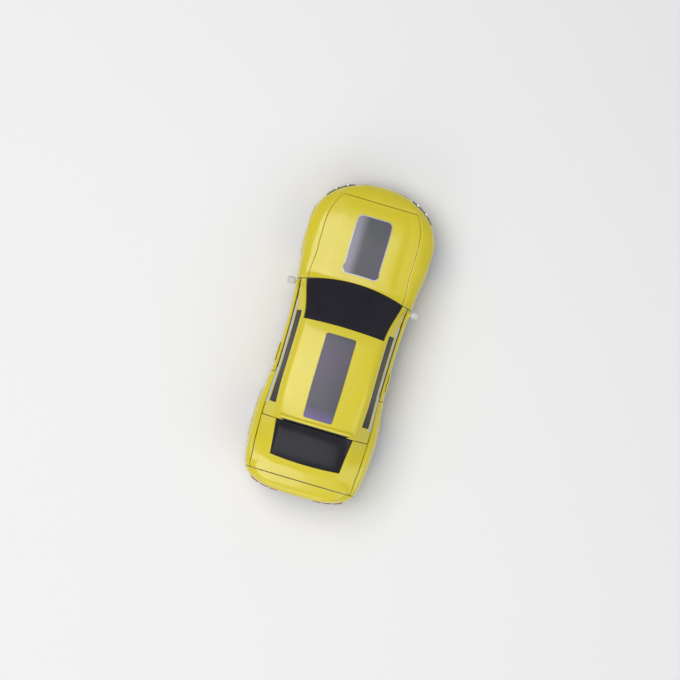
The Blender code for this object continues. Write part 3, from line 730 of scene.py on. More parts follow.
def pearl_film(name, axis, start, end, tint_end):
    """Dark grey-violet film with a fine sparkle; greenish patches mixed in by noise are painted
    reflection, and the colour fades to another tint along an axis, which on the hood is a painted
    sheen.
    """
    made, tree, shader = node_material(name, 0.38, 0.3)
    place = add_node(tree, "TexCoord")
    drift = add_node(tree, "TexNoise", Scale=26.0, Detail=3.0)
    # Grey-violet and a greenish dark tone, mixed by noise: the greenish patches are painted
    # reflection.
    ramp = add_node(tree, "ValToRGB")
    ramp.color_ramp.elements[0].position = 0.35
    ramp.color_ramp.elements[0].color = (0.1, 0.085, 0.125, 1.0)
    ramp.color_ramp.elements[1].position = 0.7
    ramp.color_ramp.elements[1].color = (0.07, 0.085, 0.08, 1.0)
    # Fade towards tint_end along the axis; on the hood the lighter side towards +X is painted sheen.
    along = add_node(tree, "SeparateXYZ")
    fade = add_node(tree, "MapRange", From_Min=start * MM, From_Max=end * MM)
    fade.interpolation_type = "SMOOTHSTEP"
    blend = colour_mix(tree, B=tint_end)
    sparkle = add_node(tree, "TexNoise", Scale=2600.0)
    film_gloss = add_node(tree, "MapRange", To_Min=0.28, To_Max=0.55)
    relief = fine_relief(tree, 0.08)
    wire(tree,
         (place, "Object", drift, "Vector"),
         (place, "Object", sparkle, "Vector"),
         (place, "Object", along, "Vector"),
         (drift, "Fac", ramp, "Fac"),
         (along, axis, fade, "Value"),
         (fade, "Result", blend, "Factor"),
         (ramp, "Color", blend, "A"),
         (blend, "Result", shader, "Base Color"),
         (sparkle, "Fac", film_gloss, "Value"),
         (film_gloss, "Result", shader, "Roughness"),
         (sparkle, "Fac", relief, "Height"),
         (relief, "Normal", shader, "Normal"))
    return made


# The hood film fades lighter towards +X, the car's left: painted sheen.
STRIPE_FILM = pearl_film("hood_stripe_film", "X", 3.0, 12.0, (0.24, 0.23, 0.28))
ROOF_FILM = pearl_film("roof_stripe_film", "Y", 52.0, 64.0, (0.15, 0.12, 0.26))
PROBE = 0.1


def crowded(number, count):
    """A place from -1 to 1, where the places lie closer together near both ends."""
    return math.sin(math.pi / 2 * (2.0 * number / count - 1.0))


def corner_pull(place, share):
    """How far a round corner has pulled in, from 0 to 1, when it takes a share of each end."""
    inset = min(max(abs(place) - (1.0 - share), 0.0) / share, 1.0)
    return 1.0 - math.sqrt(1.0 - inset * inset)


def skin_strip(name, start, end, half, corner, finish, thickness, lift, columns=24, rows=40):
    """A strip laid on the skin with rounded corners; half is its half-width across in mm."""
    bm = bmesh.new()
    share = corner / half
    wide = skin_point((start + end) / 2, PROBE).x
    grid = []
    for i in range(rows + 1):
        row = []
        for j in range(columns + 1):
            u = crowded(j, columns)
            pull = corner * corner_pull(u, share)
            station = start + pull + (end - start - 2.0 * pull) * i / rows
            row.append(bm.verts.new(skin_point(station, u * PROBE * half / wide)))
        grid.append(row)
    join_rings(bm, grid, closed=False)
    bm.normal_update()
    shifts = [(vert, vert.normal * lift) for vert in bm.verts]
    for vert, shift in shifts:
        vert.co += shift
    strip = link_piece(name, bm, finish)
    thicken(strip, thickness)
    break_edges(strip, 0.25)
    return strip


SILVER_TRIM = moulding("satin_silver_trim", (0.5, 0.5, 0.53), (0.4, 0.4, 0.44), (0.3, 0.42),
                       (0.7, 0.7, 0.7), grain=900.0, bump=0.05, metallic=0.8)
# Pale grey for the mirror shells; on the belt strips under the side windows the same pale grey is
# painted highlight.
PALE_GREY_AND_HIGHLIGHT = moulding("pale_grey_and_painted_highlight", (0.58, 0.58, 0.56), (0.5, 0.5, 0.5), (0.3, 0.42),
                     (0.75, 0.75, 0.73), grain=900.0, bump=0.1)
fit(skin_strip("hood_insert_rim", 25.2, 72.8, 14.6, 4.0, SILVER_TRIM, 1.5, 0.95), "clip",
    "silver_plating")
fit(skin_strip("hood_insert", 26.0, 72.0, 13.9, 3.5, STRIPE_FILM, 1.2, 1.3), "clip",
    "stripe_plastic", "hood_stripe")
fit(skin_strip("roof_strip", 121.0, 188.5, 12.0, 1.6, ROOF_FILM, 0.9, 0.5), "torso",
    "stripe_plastic", "roof_stripe")
# The pale strips along the belt line, under the side windows, are painted highlight: they stand for
# the bright edge light along the tops of the doors.
for word, side in SIDES:
    highlight_places = side_places(steps(0.455, 0.486, 3), side)
    fit(skin_panel(f"belt_highlight_strip_{word}", steps(98.0, 186.0, 44), highlight_places, PALE_GREY_AND_HIGHLIGHT,
        thickness=0.7, lift=0.45, relief=False, edge=0.2), "torso", "grey_plastic")


# ------------------------------------------------------------------ roof hinge cover
# The cabin hinges on the rear edge of the roof. A yellow half-tube on the roof moulding hides
# the hinge barrels and closes the gap in front of the rear window, and turns with the cabin.

WAIST_Y = 68.0
WAIST_Z = 66.4
COVER_RADIUS = 2.5
COVER_WALL = 0.6
COVER_HALF = 29.4
COVER_FLAT = 26.0
COVER_SAG = 1.5
COVER_ARC = (178.0, 72.0)
COVER_ARC_STEPS = 16
COVER_STEPS = 64


def tube_cover(name, finish):
    """A part-round cover along the hinge axis, bowed with the roof."""
    bm = bmesh.new()
    rings = []
    arc = [math.radians(angle) for angle in steps(*COVER_ARC, COVER_ARC_STEPS)]
    for i in range(COVER_STEPS + 1):
        x = COVER_HALF * crowded(i, COVER_STEPS)
        sag = COVER_SAG * (max(abs(x) - COVER_FLAT, 0.0) / (COVER_HALF - COVER_FLAT)) ** 2
        outer = [(COVER_RADIUS * math.cos(t), COVER_RADIUS * math.sin(t)) for t in arc]
        inner = [((COVER_RADIUS - COVER_WALL) * math.cos(t),
                  (COVER_RADIUS - COVER_WALL) * math.sin(t)) for t in reversed(arc)]
        rings.append([bm.verts.new((x, WAIST_Y + y, WAIST_Z + z - sag)) for y, z in outer + inner])
    join_rings(bm, rings, capped=True)
    bmesh.ops.recalc_face_normals(bm, faces=bm.faces)
    piece = link_piece(name, bm, finish)
    break_edges(piece, 0.15, segments=2)
    return piece


fit(tube_cover("roof_hinge_cover", YELLOW), "torso", "yellow_body")


# ------------------------------------------------------------------ nose details
# Headlamps with two plated bowls each in a black bezel, a black mesh grille, a lower intake and
# round fog lamps. All are clip-in parts let into the nose from the front.

BLACK = moulding("satin_black_abs", (0.022, 0.022, 0.024), (0.034, 0.034, 0.036), (0.38, 0.55),
                 (0.16, 0.16, 0.16), bump=0.25, dust=0.08)
SILVER = moulding("plated_silver", (0.66, 0.66, 0.68), (0.56, 0.56, 0.6), (0.14, 0.26),
                  (0.3, 0.3, 0.32), grain=900.0, bump=0.03, metallic=0.95)
LENS = moulding("clear_lamp_lens", (0.72, 0.76, 0.8), (0.6, 0.66, 0.72), (0.05, 0.12),
                (0.9, 0.9, 0.9), grain=350.0, bump=0.1)
PROBE_START = 200.0
CORNER_DEPTH = 1.2


def surface_of(piece):
    """A lookup of a piece's finished surface."""
    return BVHTree.FromObject(piece, bpy.context.evaluated_depsgraph_get())


def touch(surface, x, z, facing):
    """Where a line along the car's length meets the nose (facing -1) or the tail (+1), in mm."""
    start = Vector((x, facing * PROBE_START, z)) * MM
    place, normal, _face, _reach = surface.ray_cast(start, Vector((0.0, -facing, 0.0)))
    return place / MM, normal


def laid_patch(name, surface, facing, middle, half_size, finish, lift, wall, corner=0.25,
               slope=0.0, columns=28, rows=8):
    """A rounded plate laid on the nose or the tail; slope raises its outer end."""
    bm = bmesh.new()
    grid = []
    for i in range(rows + 1):
        row = []
        for j in range(columns + 1):
            u = crowded(j, columns)
            v = (2.0 * i / rows - 1.0) * (1.0 - corner * corner_pull(u, corner) * CORNER_DEPTH)
            x = middle[0] + u * half_size[0]
            z = middle[1] + v * half_size[1] + slope * u * math.copysign(1.0, middle[0])
            place, normal = touch(surface, x, z, facing)
            row.append(bm.verts.new(place + normal * lift))
        grid.append(row)
    join_rings(bm, grid, closed=False, flip=facing > 0)
    piece = link_piece(name, bm, finish)
    thicken(piece, wall)
    break_edges(piece, 0.2, segments=2)
    return piece


def turned_piece(name, middle, axis, profile, finish, segments=48):
    """A turned part: profile lists (distance along the axis, radius) from back to front, mm."""
    bm = bmesh.new()
    turn = Vector(axis).to_track_quat("Z", "Y")
    rings = []
    for along, radius in profile:
        ring = []
        for k in range(segments):
            angle = 2.0 * math.pi * k / segments
            spot = Vector((radius * math.cos(angle), radius * math.sin(angle), along))
            ring.append(bm.verts.new(Vector(middle) + turn @ spot))
        rings.append(ring)
    join_rings(bm, rings, capped=True)
    piece = link_piece(name, bm, finish)
    break_edges(piece, 0.12, segments=2, angle=35.0)
    return piece


nose = surface_of(fenders)
for word, side in SIDES:
    fit(laid_patch(f"headlamp_bezel_{word}", nose, -1, (side * 33.0, 29.0), (9.5, 4.0), BLACK, 0.25,
        0.9, slope=1.6), "clip", "black_plastic")
    for number, x in enumerate((28.6, 36.6)):
        place, normal = touch(nose, side * x, 28.4 + 0.17 * (x - 28.6), -1)
        fit(turned_piece(f"headlamp_bowl_{word}_{number}", place, normal,
            [(-0.4, 2.9), (0.75, 2.9), (0.75, 2.3), (0.3, 1.9)], SILVER), "clip", "silver_plating")
        fit(turned_piece(f"headlamp_eye_{word}_{number}", place, normal,
            [(0.2, 2.1), (0.5, 2.0), (0.75, 1.5), (0.85, 0.6)], LENS), "clip", "lamp_lens",
            f"headlight_{word}")
    fog_place, fog_normal = touch(nose, side * 29.5, 15.0, -1)
    fit(turned_piece(f"fog_lamp_{word}", fog_place, fog_normal, [(-0.3, 2.6), (0.5, 2.6),
        (0.5, 2.1), (0.2, 1.8), (0.35, 0.5)], LENS), "clip", "lamp_lens")

fit(laid_patch("grille_mesh_plate", nose, -1, (0.0, 24.5), (19.0, 3.4), BLACK, 0.15, 0.8), "clip",
    "black_plastic")
for number in range(4):
    fit(laid_patch(f"grille_bar_{number}", nose, -1, (0.0, 22.3 + 1.5 * number), (17.6, 0.28),
        SILVER_TRIM, 0.6, 0.7, rows=2), "clip", "silver_plating")
fit(laid_patch("lower_intake", nose, -1, (0.0, 14.6), (24.0, 3.0), BLACK, 0.2, 0.8), "clip",
    "black_plastic")
for number in range(9):
    fit(laid_patch(f"intake_fin_{number}", nose, -1, (-20.0 + 5.0 * number, 14.6), (0.4, 2.4),
        BLACK, 0.75, 0.8, columns=2, rows=6), "clip", "black_plastic")


# ------------------------------------------------------------------ tail details
# Red lamp lenses in a black rear panel, a black diffuser with fins and two plated exhaust
# trims. The lenses are tinted mouldings; there are no lamps behind them.

def lamp_red():
    """Red tinted lens with fine prism lines."""
    made, tree, shader = node_material("red_lamp_lens", 0.12)
    place = add_node(tree, "TexCoord")
    prisms = add_node(tree, "TexWave", Scale=320.0, Distortion=0.2)
    tint = colour_mix(tree, A=(0.36, 0.006, 0.008), B=(0.52, 0.02, 0.016))
    relief = fine_relief(tree, 0.35)
    wire(tree,
         (place, "Object", prisms, "Vector"),
         (prisms, "Fac", tint, "Factor"),
         (tint, "Result", shader, "Base Color"),
         (prisms, "Fac", relief, "Height"),
         (relief, "Normal", shader, "Normal"))
    return made


RED_LENS = lamp_red()
tail = surface_of(bumper)
fit(laid_patch("rear_panel", tail, 1, (0.0, 37.5), (38.0, 4.4), BLACK, 0.2, 0.8, corner=0.1,
    columns=48), "base", "black_plastic")
for word, side in SIDES:
    for number, x in enumerate((17.5, 25.5, 33.5)):
        fit(laid_patch(f"tail_lamp_{word}_{number}", tail, 1, (side * x, 37.6), (3.3, 3.2),
            RED_LENS, 0.75, 0.9, corner=0.35, columns=14), "base", "red_plastic")
    place, _normal = touch(tail, side * 26.0, 12.0, 1)
    fit(turned_piece(f"exhaust_trim_{word}", (place.x, place.y - 3.0, place.z), (0.0, 1.0, 0.0),
        [(0.0, 2.9), (5.0, 2.9), (5.0, 2.4), (2.4, 2.2)], SILVER), "base", "silver_plating")
fit(laid_patch("number_plate_recess", tail, 1, (0.0, 25.5), (14.0, 4.0), BLACK, 0.15, 0.7,
    corner=0.12), "base", "black_plastic")
fit(laid_patch("diffuser", tail, 1, (0.0, 12.4), (21.0, 3.2), BLACK, 0.2, 0.8, corner=0.15), "base",
    "black_plastic")
for number in range(5):
    fit(laid_patch(f"diffuser_fin_{number}", tail, 1, (-14.0 + 7.0 * number, 12.4), (0.45, 2.9),
        BLACK, 0.9, 1.0, columns=2, rows=6), "base", "black_plastic")


# ------------------------------------------------------------------ mirrors and door handles
# Each mirror is a pale grey shell on a short yellow arm screwed to the door; the handle is a
# small bar over a black finger pocket.

def swell(value, power):
    """A sine or cosine pushed outwards, so that a round form turns blocky."""
    return math.copysign(abs(value) ** (2.0 / power), value)


def framed(node):
    """A node's two corners in millimetres."""
    return tuple(Vector(corner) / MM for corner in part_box(node))


def soft_block(name, middle, half_size, finish, power=3.5, columns=28, rows=16):
    """A block with fully rounded sides, like a mirror shell."""
    bm = bmesh.new()
    rings = []
    for i in range(1, rows):
        tilt = math.pi * i / rows - math.pi / 2
        ring = []
        for j in range(columns):
            turn = 2.0 * math.pi * j / columns
            spread = abs(math.cos(tilt)) ** (2.0 / power)
            x = swell(math.cos(turn), power) * spread
            y = swell(math.sin(turn), power) * spread
            z = swell(math.sin(tilt), power)
            ring.append(bm.verts.new((middle[0] + x * half_size[0], middle[1] + y * half_size[1],
                                      middle[2] + z * half_size[2])))
        rings.append(ring)
    join_rings(bm, rings, capped=True)
    return link_piece(name, bm, finish)


for word, side in SIDES:
    low, high = framed(f"mirror_{word}")
    middle = (low + high) / 2
    half = (high - low) / 2
    fit(soft_block(f"mirror_shell_{word}", middle, half, PALE_GREY_AND_HIGHLIGHT), f"door_{word}", "grey_plastic",
        f"mirror_{word}")
    root = Vector((middle.x - side * 5.0, middle.y + 1.0, middle.z - 1.6))
    reach = Vector((middle.x - side * half.x * 0.4, middle.y, middle.z - 0.6)) - root
    fit(turned_piece(f"mirror_stalk_{word}", root, reach, [(0.0, 1.9), (reach.length * 0.5, 1.1),
        (reach.length, 1.2)], YELLOW, 24), f"door_{word}", "yellow_body")
    fit(skin_panel(f"handle_pocket_{word}", steps(139.0, 153.0, 12),
        side_places(steps(0.6, 0.645, 5), side), BLACK, thickness=0.6, lift=0.2, edge=0.15),
        f"door_{word}", "black_plastic")
    fit(skin_panel(f"door_handle_{word}", steps(138.4, 153.6, 14),
        side_places(steps(0.604, 0.624, 3), side), YELLOW, thickness=0.9, lift=1.2, edge=0.35),
        f"door_{word}", "yellow_body")
    fit(skin_panel(f"sill_trim_{word}", steps(DOOR_START + 1.0, DOOR_END - 1.0, 40),
        side_places(steps(0.93, 0.985, 4), side), BLACK, thickness=0.7, lift=1.1, edge=0.2),
        f"door_{word}", "black_plastic")


# ------------------------------------------------------------------ wheels
# Soft rubber tyres with moulded tread blocks, pressed on plated five-spoke rims. The rear rims
# are pressed on a steel axle; the front ones turn on the knuckles' pins.

TYRE_BEAD = 12.2
TREAD_STEPS = 180
TREAD_BLOCKS = 36
TREAD_DEPTH = 0.55
TREAD_INNER = 16.6
GROOVE_SHARE = 0.2
RIM_STEPS = 96
SPOKES = 5
SPOKE_START = 2.2
SPOKE_END = 11.0
NUT_CIRCLE = 5.0

RUBBER = moulding("tyre_rubber_matt", (0.022, 0.022, 0.023), (0.04, 0.039, 0.038), (0.7, 0.9),
                  (0.1, 0.1, 0.1), grain=900.0, bump=0.5, wear=0.6, dust=0.15)
STEEL = moulding("drawn_steel", (0.56, 0.56, 0.57), (0.44, 0.44, 0.46), (0.25, 0.42),
                 (0.72, 0.72, 0.72), grain=2400.0, bump=0.15, metallic=1.0)


def about_axle(middle, along, radius, angle):
    """A point at a distance along a wheel's axle and a radius from it, in mm."""
    return (middle.x + along, middle.y + radius * math.cos(angle),
            middle.z + radius * math.sin(angle))


def tyre_profile(half):
    """Round shoulders and a grooved tread, from the inner bead to the outer bead."""
    inner_side = [(1.1, TYRE_BEAD - 0.5), (0.5, TYRE_BEAD), (0.1, 13.2), (0.0, 14.4), (0.25, 15.5),
                  (0.8, 16.3), (1.5, 16.8), (2.0, 17.0), (3.4, 17.0), (3.7, 16.5), (4.3, 16.5),
                  (4.6, 17.0)]
    return ([(-half + inset, radius) for inset, radius in inner_side] + [(0.0, 17.0)]
            + [(half - inset, radius) for inset, radius in reversed(inner_side)])


def build_tyre(name, middle, half):
    """A tyre about the X axis with staggered tread blocks."""
    bm = bmesh.new()
    profile = tyre_profile(half)
    rings = []
    for k in range(TREAD_STEPS):
        angle = 2.0 * math.pi * k / TREAD_STEPS
        ring = []
        for along, radius in profile:
            stagger = 0.5 if abs(along) < half - 4.0 else 0.0
            phase = (k * TREAD_BLOCKS / TREAD_STEPS + stagger) % 1.0
            if radius > TREAD_INNER and phase < GROOVE_SHARE:
                radius -= TREAD_DEPTH
            ring.append(bm.verts.new(about_axle(middle, along, radius, angle)))
        rings.append(ring)
    join_rings(bm, rings + rings[:1])
    bmesh.ops.recalc_face_normals(bm, faces=bm.faces)
    tyre = link_piece(name, bm, RUBBER)
    break_edges(tyre, 0.06, segments=1, angle=40.0)
    return tyre


def build_rim_barrel(name, middle, half, side):
    """The rim's barrel with its rolled lips."""
    front = side * half
    profile = [(front, 12.1), (front, 11.4), (front - side * 0.9, 10.9), (front - side * 5.0, 10.6),
               (-front + side * 1.0, 10.8), (-front + side * 1.0, 12.1),
               (-front + side * 2.4, 11.6), (front - side * 2.0, 11.6)]
    bm = bmesh.new()
    rings = []
    for k in range(RIM_STEPS):
        angle = 2.0 * math.pi * k / RIM_STEPS
        rings.append([bm.verts.new(about_axle(middle, along, radius, angle))
                      for along, radius in profile])
    join_rings(bm, rings + rings[:1])
    bmesh.ops.recalc_face_normals(bm, faces=bm.faces)
    barrel = link_piece(name, bm, SILVER)
    break_edges(barrel, 0.15, segments=2)
    return barrel


def build_spokes(name, middle, half, side):
    """Five split spokes on a dished hub."""
    bm = bmesh.new()
    face = side * (half - 1.4)
    for k in range(SPOKES):
        for fork in (-1.0, 1.0):
            start = 2.0 * math.pi * k / SPOKES
            sections = []
            for t in (0.0, 0.35, 0.7, 1.0):
                reach = SPOKE_START + (SPOKE_END - SPOKE_START) * t
                angle = start + fork * (0.1 + 0.13 * t)
                across = Vector((0.0, -math.sin(angle), math.cos(angle)))
                out = Vector((0.0, math.cos(angle), math.sin(angle)))
                spot = middle + out * reach + Vector((face - side * 1.2 * (1.0 - t) ** 2, 0, 0))
                wide = across * (1.15 - 0.35 * t)
                deep = Vector((-side * (2.2 - 0.6 * t), 0.0, 0.0))
                corners = (spot - wide, spot + wide, spot + wide + deep, spot - wide + deep)
                sections.append([bm.verts.new(corner) for corner in corners])
            join_rings(bm, sections, capped=True)
    bmesh.ops.recalc_face_normals(bm, faces=bm.faces)
    spokes = link_piece(name, bm, SILVER, smooth=False)
    break_edges(spokes, 0.25, segments=2, angle=30.0)
    return spokes


FRONT_LINER_RADIUS = 21.6
REAR_LINER_RADIUS = 18.9
LINER_WALL = 0.6
LINER_INNER = 33.4
LINER_OUTER = 45.6
LINER_START = -6.0
LINER_ARC = 192.0
LINER_STEPS = 48


def arch_liner(name, axle_y, liner_radius, side):
    """A half-tube over a wheel that closes the arch off from the inside of the body."""
    bm = bmesh.new()
    rings = []
    hub_line = Vector((0.0, axle_y, WHEEL_RADIUS))
    outside = liner_radius + LINER_WALL
    profile = ((LINER_INNER, liner_radius), (LINER_OUTER, liner_radius), (LINER_OUTER, outside),
               (LINER_INNER, outside))
    for k in range(LINER_STEPS + 1):
        angle = math.radians(LINER_START + LINER_ARC * k / LINER_STEPS)
        rings.append([bm.verts.new(about_axle(hub_line, side * x, radius, angle))
                      for x, radius in profile])
    join_rings(bm, rings)
    bm.faces.new(rings[0])
    bm.faces.new(rings[-1])
    bmesh.ops.recalc_face_normals(bm, faces=bm.faces)
    liner = link_piece(name, bm, BLACK)
    break_edges(liner, 0.1, segments=1)
    return liner


for word, side in SIDES:
    fit(arch_liner(f"front_arch_liner_{word}", FRONT_AXLE_Y, FRONT_LINER_RADIUS, side), "clip",
        "black_plastic")
    fit(arch_liner(f"rear_arch_liner_{word}", REAR_AXLE_Y, REAR_LINER_RADIUS, side), "base",
        "black_plastic")

WHEEL_BODIES = {
    "front_left": "front_wheel_left",
    "front_right": "front_wheel_right",
    "rear_left": "rear_wheels",
    "rear_right": "rear_wheels",
}
for corner, body in WHEEL_BODIES.items():
    side = 1.0 if corner.endswith("left") else -1.0
    low, high = framed(f"tyre_{corner}")
    middle = (low + high) / 2
    half = (high.x - low.x) / 2
    fit(build_tyre(f"tyre_tread_{corner}", middle, half), body, "tyre_rubber", f"tyre_{corner}")
    fit(build_rim_barrel(f"rim_barrel_{corner}", middle, half, side), body, "silver_plating",
        f"rim_{corner}")
    fit(build_spokes(f"rim_spokes_{corner}", middle, half, side), body, "silver_plating")
    hub_spot = middle + Vector((side * (half - 3.4), 0.0, 0.0))
    fit(turned_piece(f"hub_cap_{corner}", hub_spot, (side, 0.0, 0.0), [(-2.5, 3.0), (0.9, 3.4),
        (1.6, 2.9), (1.9, 1.8), (2.0, 0.5)], SILVER), body, "silver_plating")
    fit(turned_piece(f"brake_disc_{corner}", middle - Vector((side * 1.0, 0.0, 0.0)),
        (side, 0.0, 0.0), [(-0.6, 10.4), (0.4, 10.4), (0.6, 9.8), (0.6, 4.0)], BLACK), body,
        "black_plastic")
    for number in range(SPOKES):
        angle = 2.0 * math.pi * (number + 0.5) / SPOKES
        nut_spot = about_axle(middle, side * (half - 3.2), NUT_CIRCLE, angle)
        fit(turned_piece(f"wheel_nut_{corner}_{number}", nut_spot, (side, 0.0, 0.0),
            [(-1.4, 0.8), (0.7, 0.8), (0.9, 0.4)], STEEL, 6), body, "steel")


# ------------------------------------------------------------------ robot chest and waist
# Three snap-on plates on the underside of the cabin frame: a red chest, a plated abdomen with
# ribs and a white hip shield. Each is a flat moulding with raised panels.

WHITE = moulding("satin_white_abs", (0.74, 0.74, 0.72), (0.68, 0.68, 0.65), (0.3, 0.45),
                 (0.85, 0.85, 0.83), bump=0.12)
RED = moulding("gloss_red_abs", (0.5, 0.016, 0.014), (0.42, 0.01, 0.01), (0.18, 0.3),
               (0.7, 0.2, 0.15), grain=500.0, bump=0.08)


def raised_plate(name, outline, low, high, finish, axis="Z", edge=0.35):
    """A plate cut to an outline; axis is the way it is thick, low and high its two faces."""
    bm = bmesh.new()
    rings = []
    for depth in (low, high):
        spots = {"Z": [(a, b, depth) for a, b in outline], "Y": [(a, depth, b) for a, b in outline],
                 "X": [(depth, a, b) for a, b in outline]}
        rings.append([bm.verts.new(spot) for spot in spots[axis]])
    join_rings(bm, rings, capped=True)
    bmesh.ops.recalc_face_normals(bm, faces=bm.faces)
    plate_piece = link_piece(name, bm, finish)
    break_edges(plate_piece, edge, segments=3, angle=20.0)
    return plate_piece


def flipped(outline):
    """The same outline on the other side of the car."""
    return [(-a, b) for a, b in reversed(outline)]


HANDED = (("left", list), ("right", flipped))

low, high = framed("chest_plate")
fit(raised_plate("chest_base", [(-31, -19.4), (31, -19.4), (31, -4), (24, 6), (-24, 6), (-31, -4)],
    low.z + 1.3, high.z, RED, edge=0.6), "torso", "red_plastic", "chest_plate")
CHEST_PANEL = [(4.5, -17.8), (28.5, -17.8), (28.5, -6.5), (21.5, 2.5), (9.5, 2.5), (4.5, -4.0)]
CHEST_VENT = [(9.5, -13.8), (23.5, -13.8), (22.0, -10.8), (10.5, -10.8)]
LOWER_VENT = [(11.0, -8.6), (21.0, -8.6), (19.0, -5.6), (12.0, -5.6)]
for word, mirror_it in HANDED:
    fit(raised_plate(f"chest_panel_{word}", mirror_it(CHEST_PANEL), low.z + 0.35, low.z + 2.0, RED,
        edge=0.5), "torso", "red_plastic")
    for number, outline in enumerate((CHEST_VENT, LOWER_VENT)):
        fit(raised_plate(f"chest_vent_{word}_{number}", mirror_it(outline), low.z, low.z + 1.6,
            SILVER_TRIM, edge=0.3), "torso", "silver_plating")
fit(raised_plate("chest_spine", [(-3.2, -18.6), (3.2, -18.6), (2.2, 4.6), (-2.2, 4.6)], low.z + 0.5,
    low.z + 2.0, WHITE, edge=0.4), "torso", "white_plastic")

low, high = framed("abdomen_plate")
fit(raised_plate("abdomen_base", [(-24, 6.6), (24, 6.6), (20, 32), (-20, 32)], low.z + 1.3, high.z,
    SILVER_TRIM, edge=0.6), "torso", "silver_plating", "abdomen_plate")
for number in range(4):
    top = 8.6 + 6.0 * number
    reach = 20.5 - 0.9 * number
    rib = [(1.4, top), (reach, top), (reach - 1.6, top + 4.0), (1.4, top + 4.0)]
    for word, mirror_it in HANDED:
        fit(raised_plate(f"abdomen_rib_{word}_{number}", mirror_it(rib), low.z, low.z + 2.0,
            WHITE if number % 2 else SILVER, edge=0.5), "torso",
            "white_plastic" if number % 2 else "silver_plating")

low, high = framed("hip_plate")
fit(raised_plate("hip_base", [(-18, 32.6), (18, 32.6), (18, 42), (10, 56), (-10, 56), (-18, 42)],
    low.z + 1.3, high.z, WHITE, edge=0.6), "torso", "white_plastic", "hip_plate")
fit(raised_plate("hip_buckle", [(-8, 34.5), (8, 34.5), (6, 46), (3, 52), (-3, 52), (-6, 46)], low.z,
    low.z + 2.0, RED, edge=0.5), "torso", "red_plastic")
for word, side in SIDES:
    fit(turned_piece(f"hip_disc_{word}", (side * 12.8, 38.6, low.z + 1.6), (0.0, 0.0, -1.0),
        [(-0.4, 3.4), (0.9, 3.4), (1.3, 2.9), (1.3, 1.9), (0.8, 1.6)], SILVER), "torso",
        "silver_plating")


# ------------------------------------------------------------------ robot head
# A yellow helmet with a crest, grey ear discs and cheek guards round a dark one-piece visor and
# a grey mouth guard. It slides up on its carriage behind the hood.

GREY = moulding("satin_grey_abs", (0.17, 0.17, 0.18), (0.13, 0.13, 0.14), (0.35, 0.5),
                (0.4, 0.4, 0.4), bump=0.2)

low, high = framed("helmet")
HEAD_X = (low.x + high.x) / 2
HEAD_Y = (low.y + high.y) / 2
fit(soft_block("helmet_skull", (HEAD_X, HEAD_Y + 0.3, 21.8), (9.3, 4.8, 9.2), YELLOW, 5.0), "head",
    "yellow_body", "helmet")
fit(raised_plate("helmet_crest", [(-37.7, 26.2), (-36.4, 31.3), (-28.4, 30.9), (-27.6, 24.0)],
    HEAD_X - 1.5, HEAD_X + 1.5, YELLOW, axis="X", edge=0.5), "head", "yellow_body")
fit(raised_plate("helmet_brow", [(-8.6, 27.2), (8.6, 27.2), (7.6, 29.8), (2.6, 30.3), (-2.6, 30.3),
    (-7.6, 29.8)], low.y, low.y + 3.0, YELLOW, axis="Y", edge=0.5), "head", "yellow_body")
visor_front = framed("visor")[0].y
fit(soft_block("visor_band", (HEAD_X, visor_front + 1.4, 24.6), (7.4, 1.4, 2.5), GLAZING, 4.0),
    "head", "dark_glazing", "visor")
fit(raised_plate("mouth_guard", [(-4.6, 13.4), (4.6, 13.4), (6.0, 16.6), (5.4, 21.6), (-5.4, 21.6),
    (-6.0, 16.6)], low.y + 0.3, low.y + 3.0, GREY, axis="Y", edge=0.5), "head", "grey_plastic")
for number in range(3):
    slot_z = 15.4 + 1.9 * number
    fit(raised_plate(f"mouth_slot_{number}", [(-3.2, slot_z), (3.2, slot_z), (3.2, slot_z + 0.7),
        (-3.2, slot_z + 0.7)], low.y, low.y + 1.4, BLACK, axis="Y", edge=0.15), "head",
        "black_plastic")
for word, side in SIDES:
    fit(raised_plate(f"cheek_guard_{word}", [(side * 6.4, 13.0), (side * 9.6, 15.0),
        (side * 9.8, 22.6), (side * 7.2, 22.4)], low.y + 0.1, low.y + 5.0, YELLOW, axis="Y",
        edge=0.5), "head", "yellow_body")
    fit(turned_piece(f"ear_disc_{word}", (side * 8.6, HEAD_Y + 0.6, 23.0), (side, 0.0, 0.0),
        [(0.0, 3.4), (1.6, 3.4), (2.3, 2.9), (2.3, 1.6), (2.7, 1.3)], GREY), "head", "grey_plastic")


# ------------------------------------------------------------------ robot arms
# The doors carry the arms. Each forearm is a white moulding with a grey cuff and a fist whose
# fingers are moulded on; it folds flat behind the door on one pin.

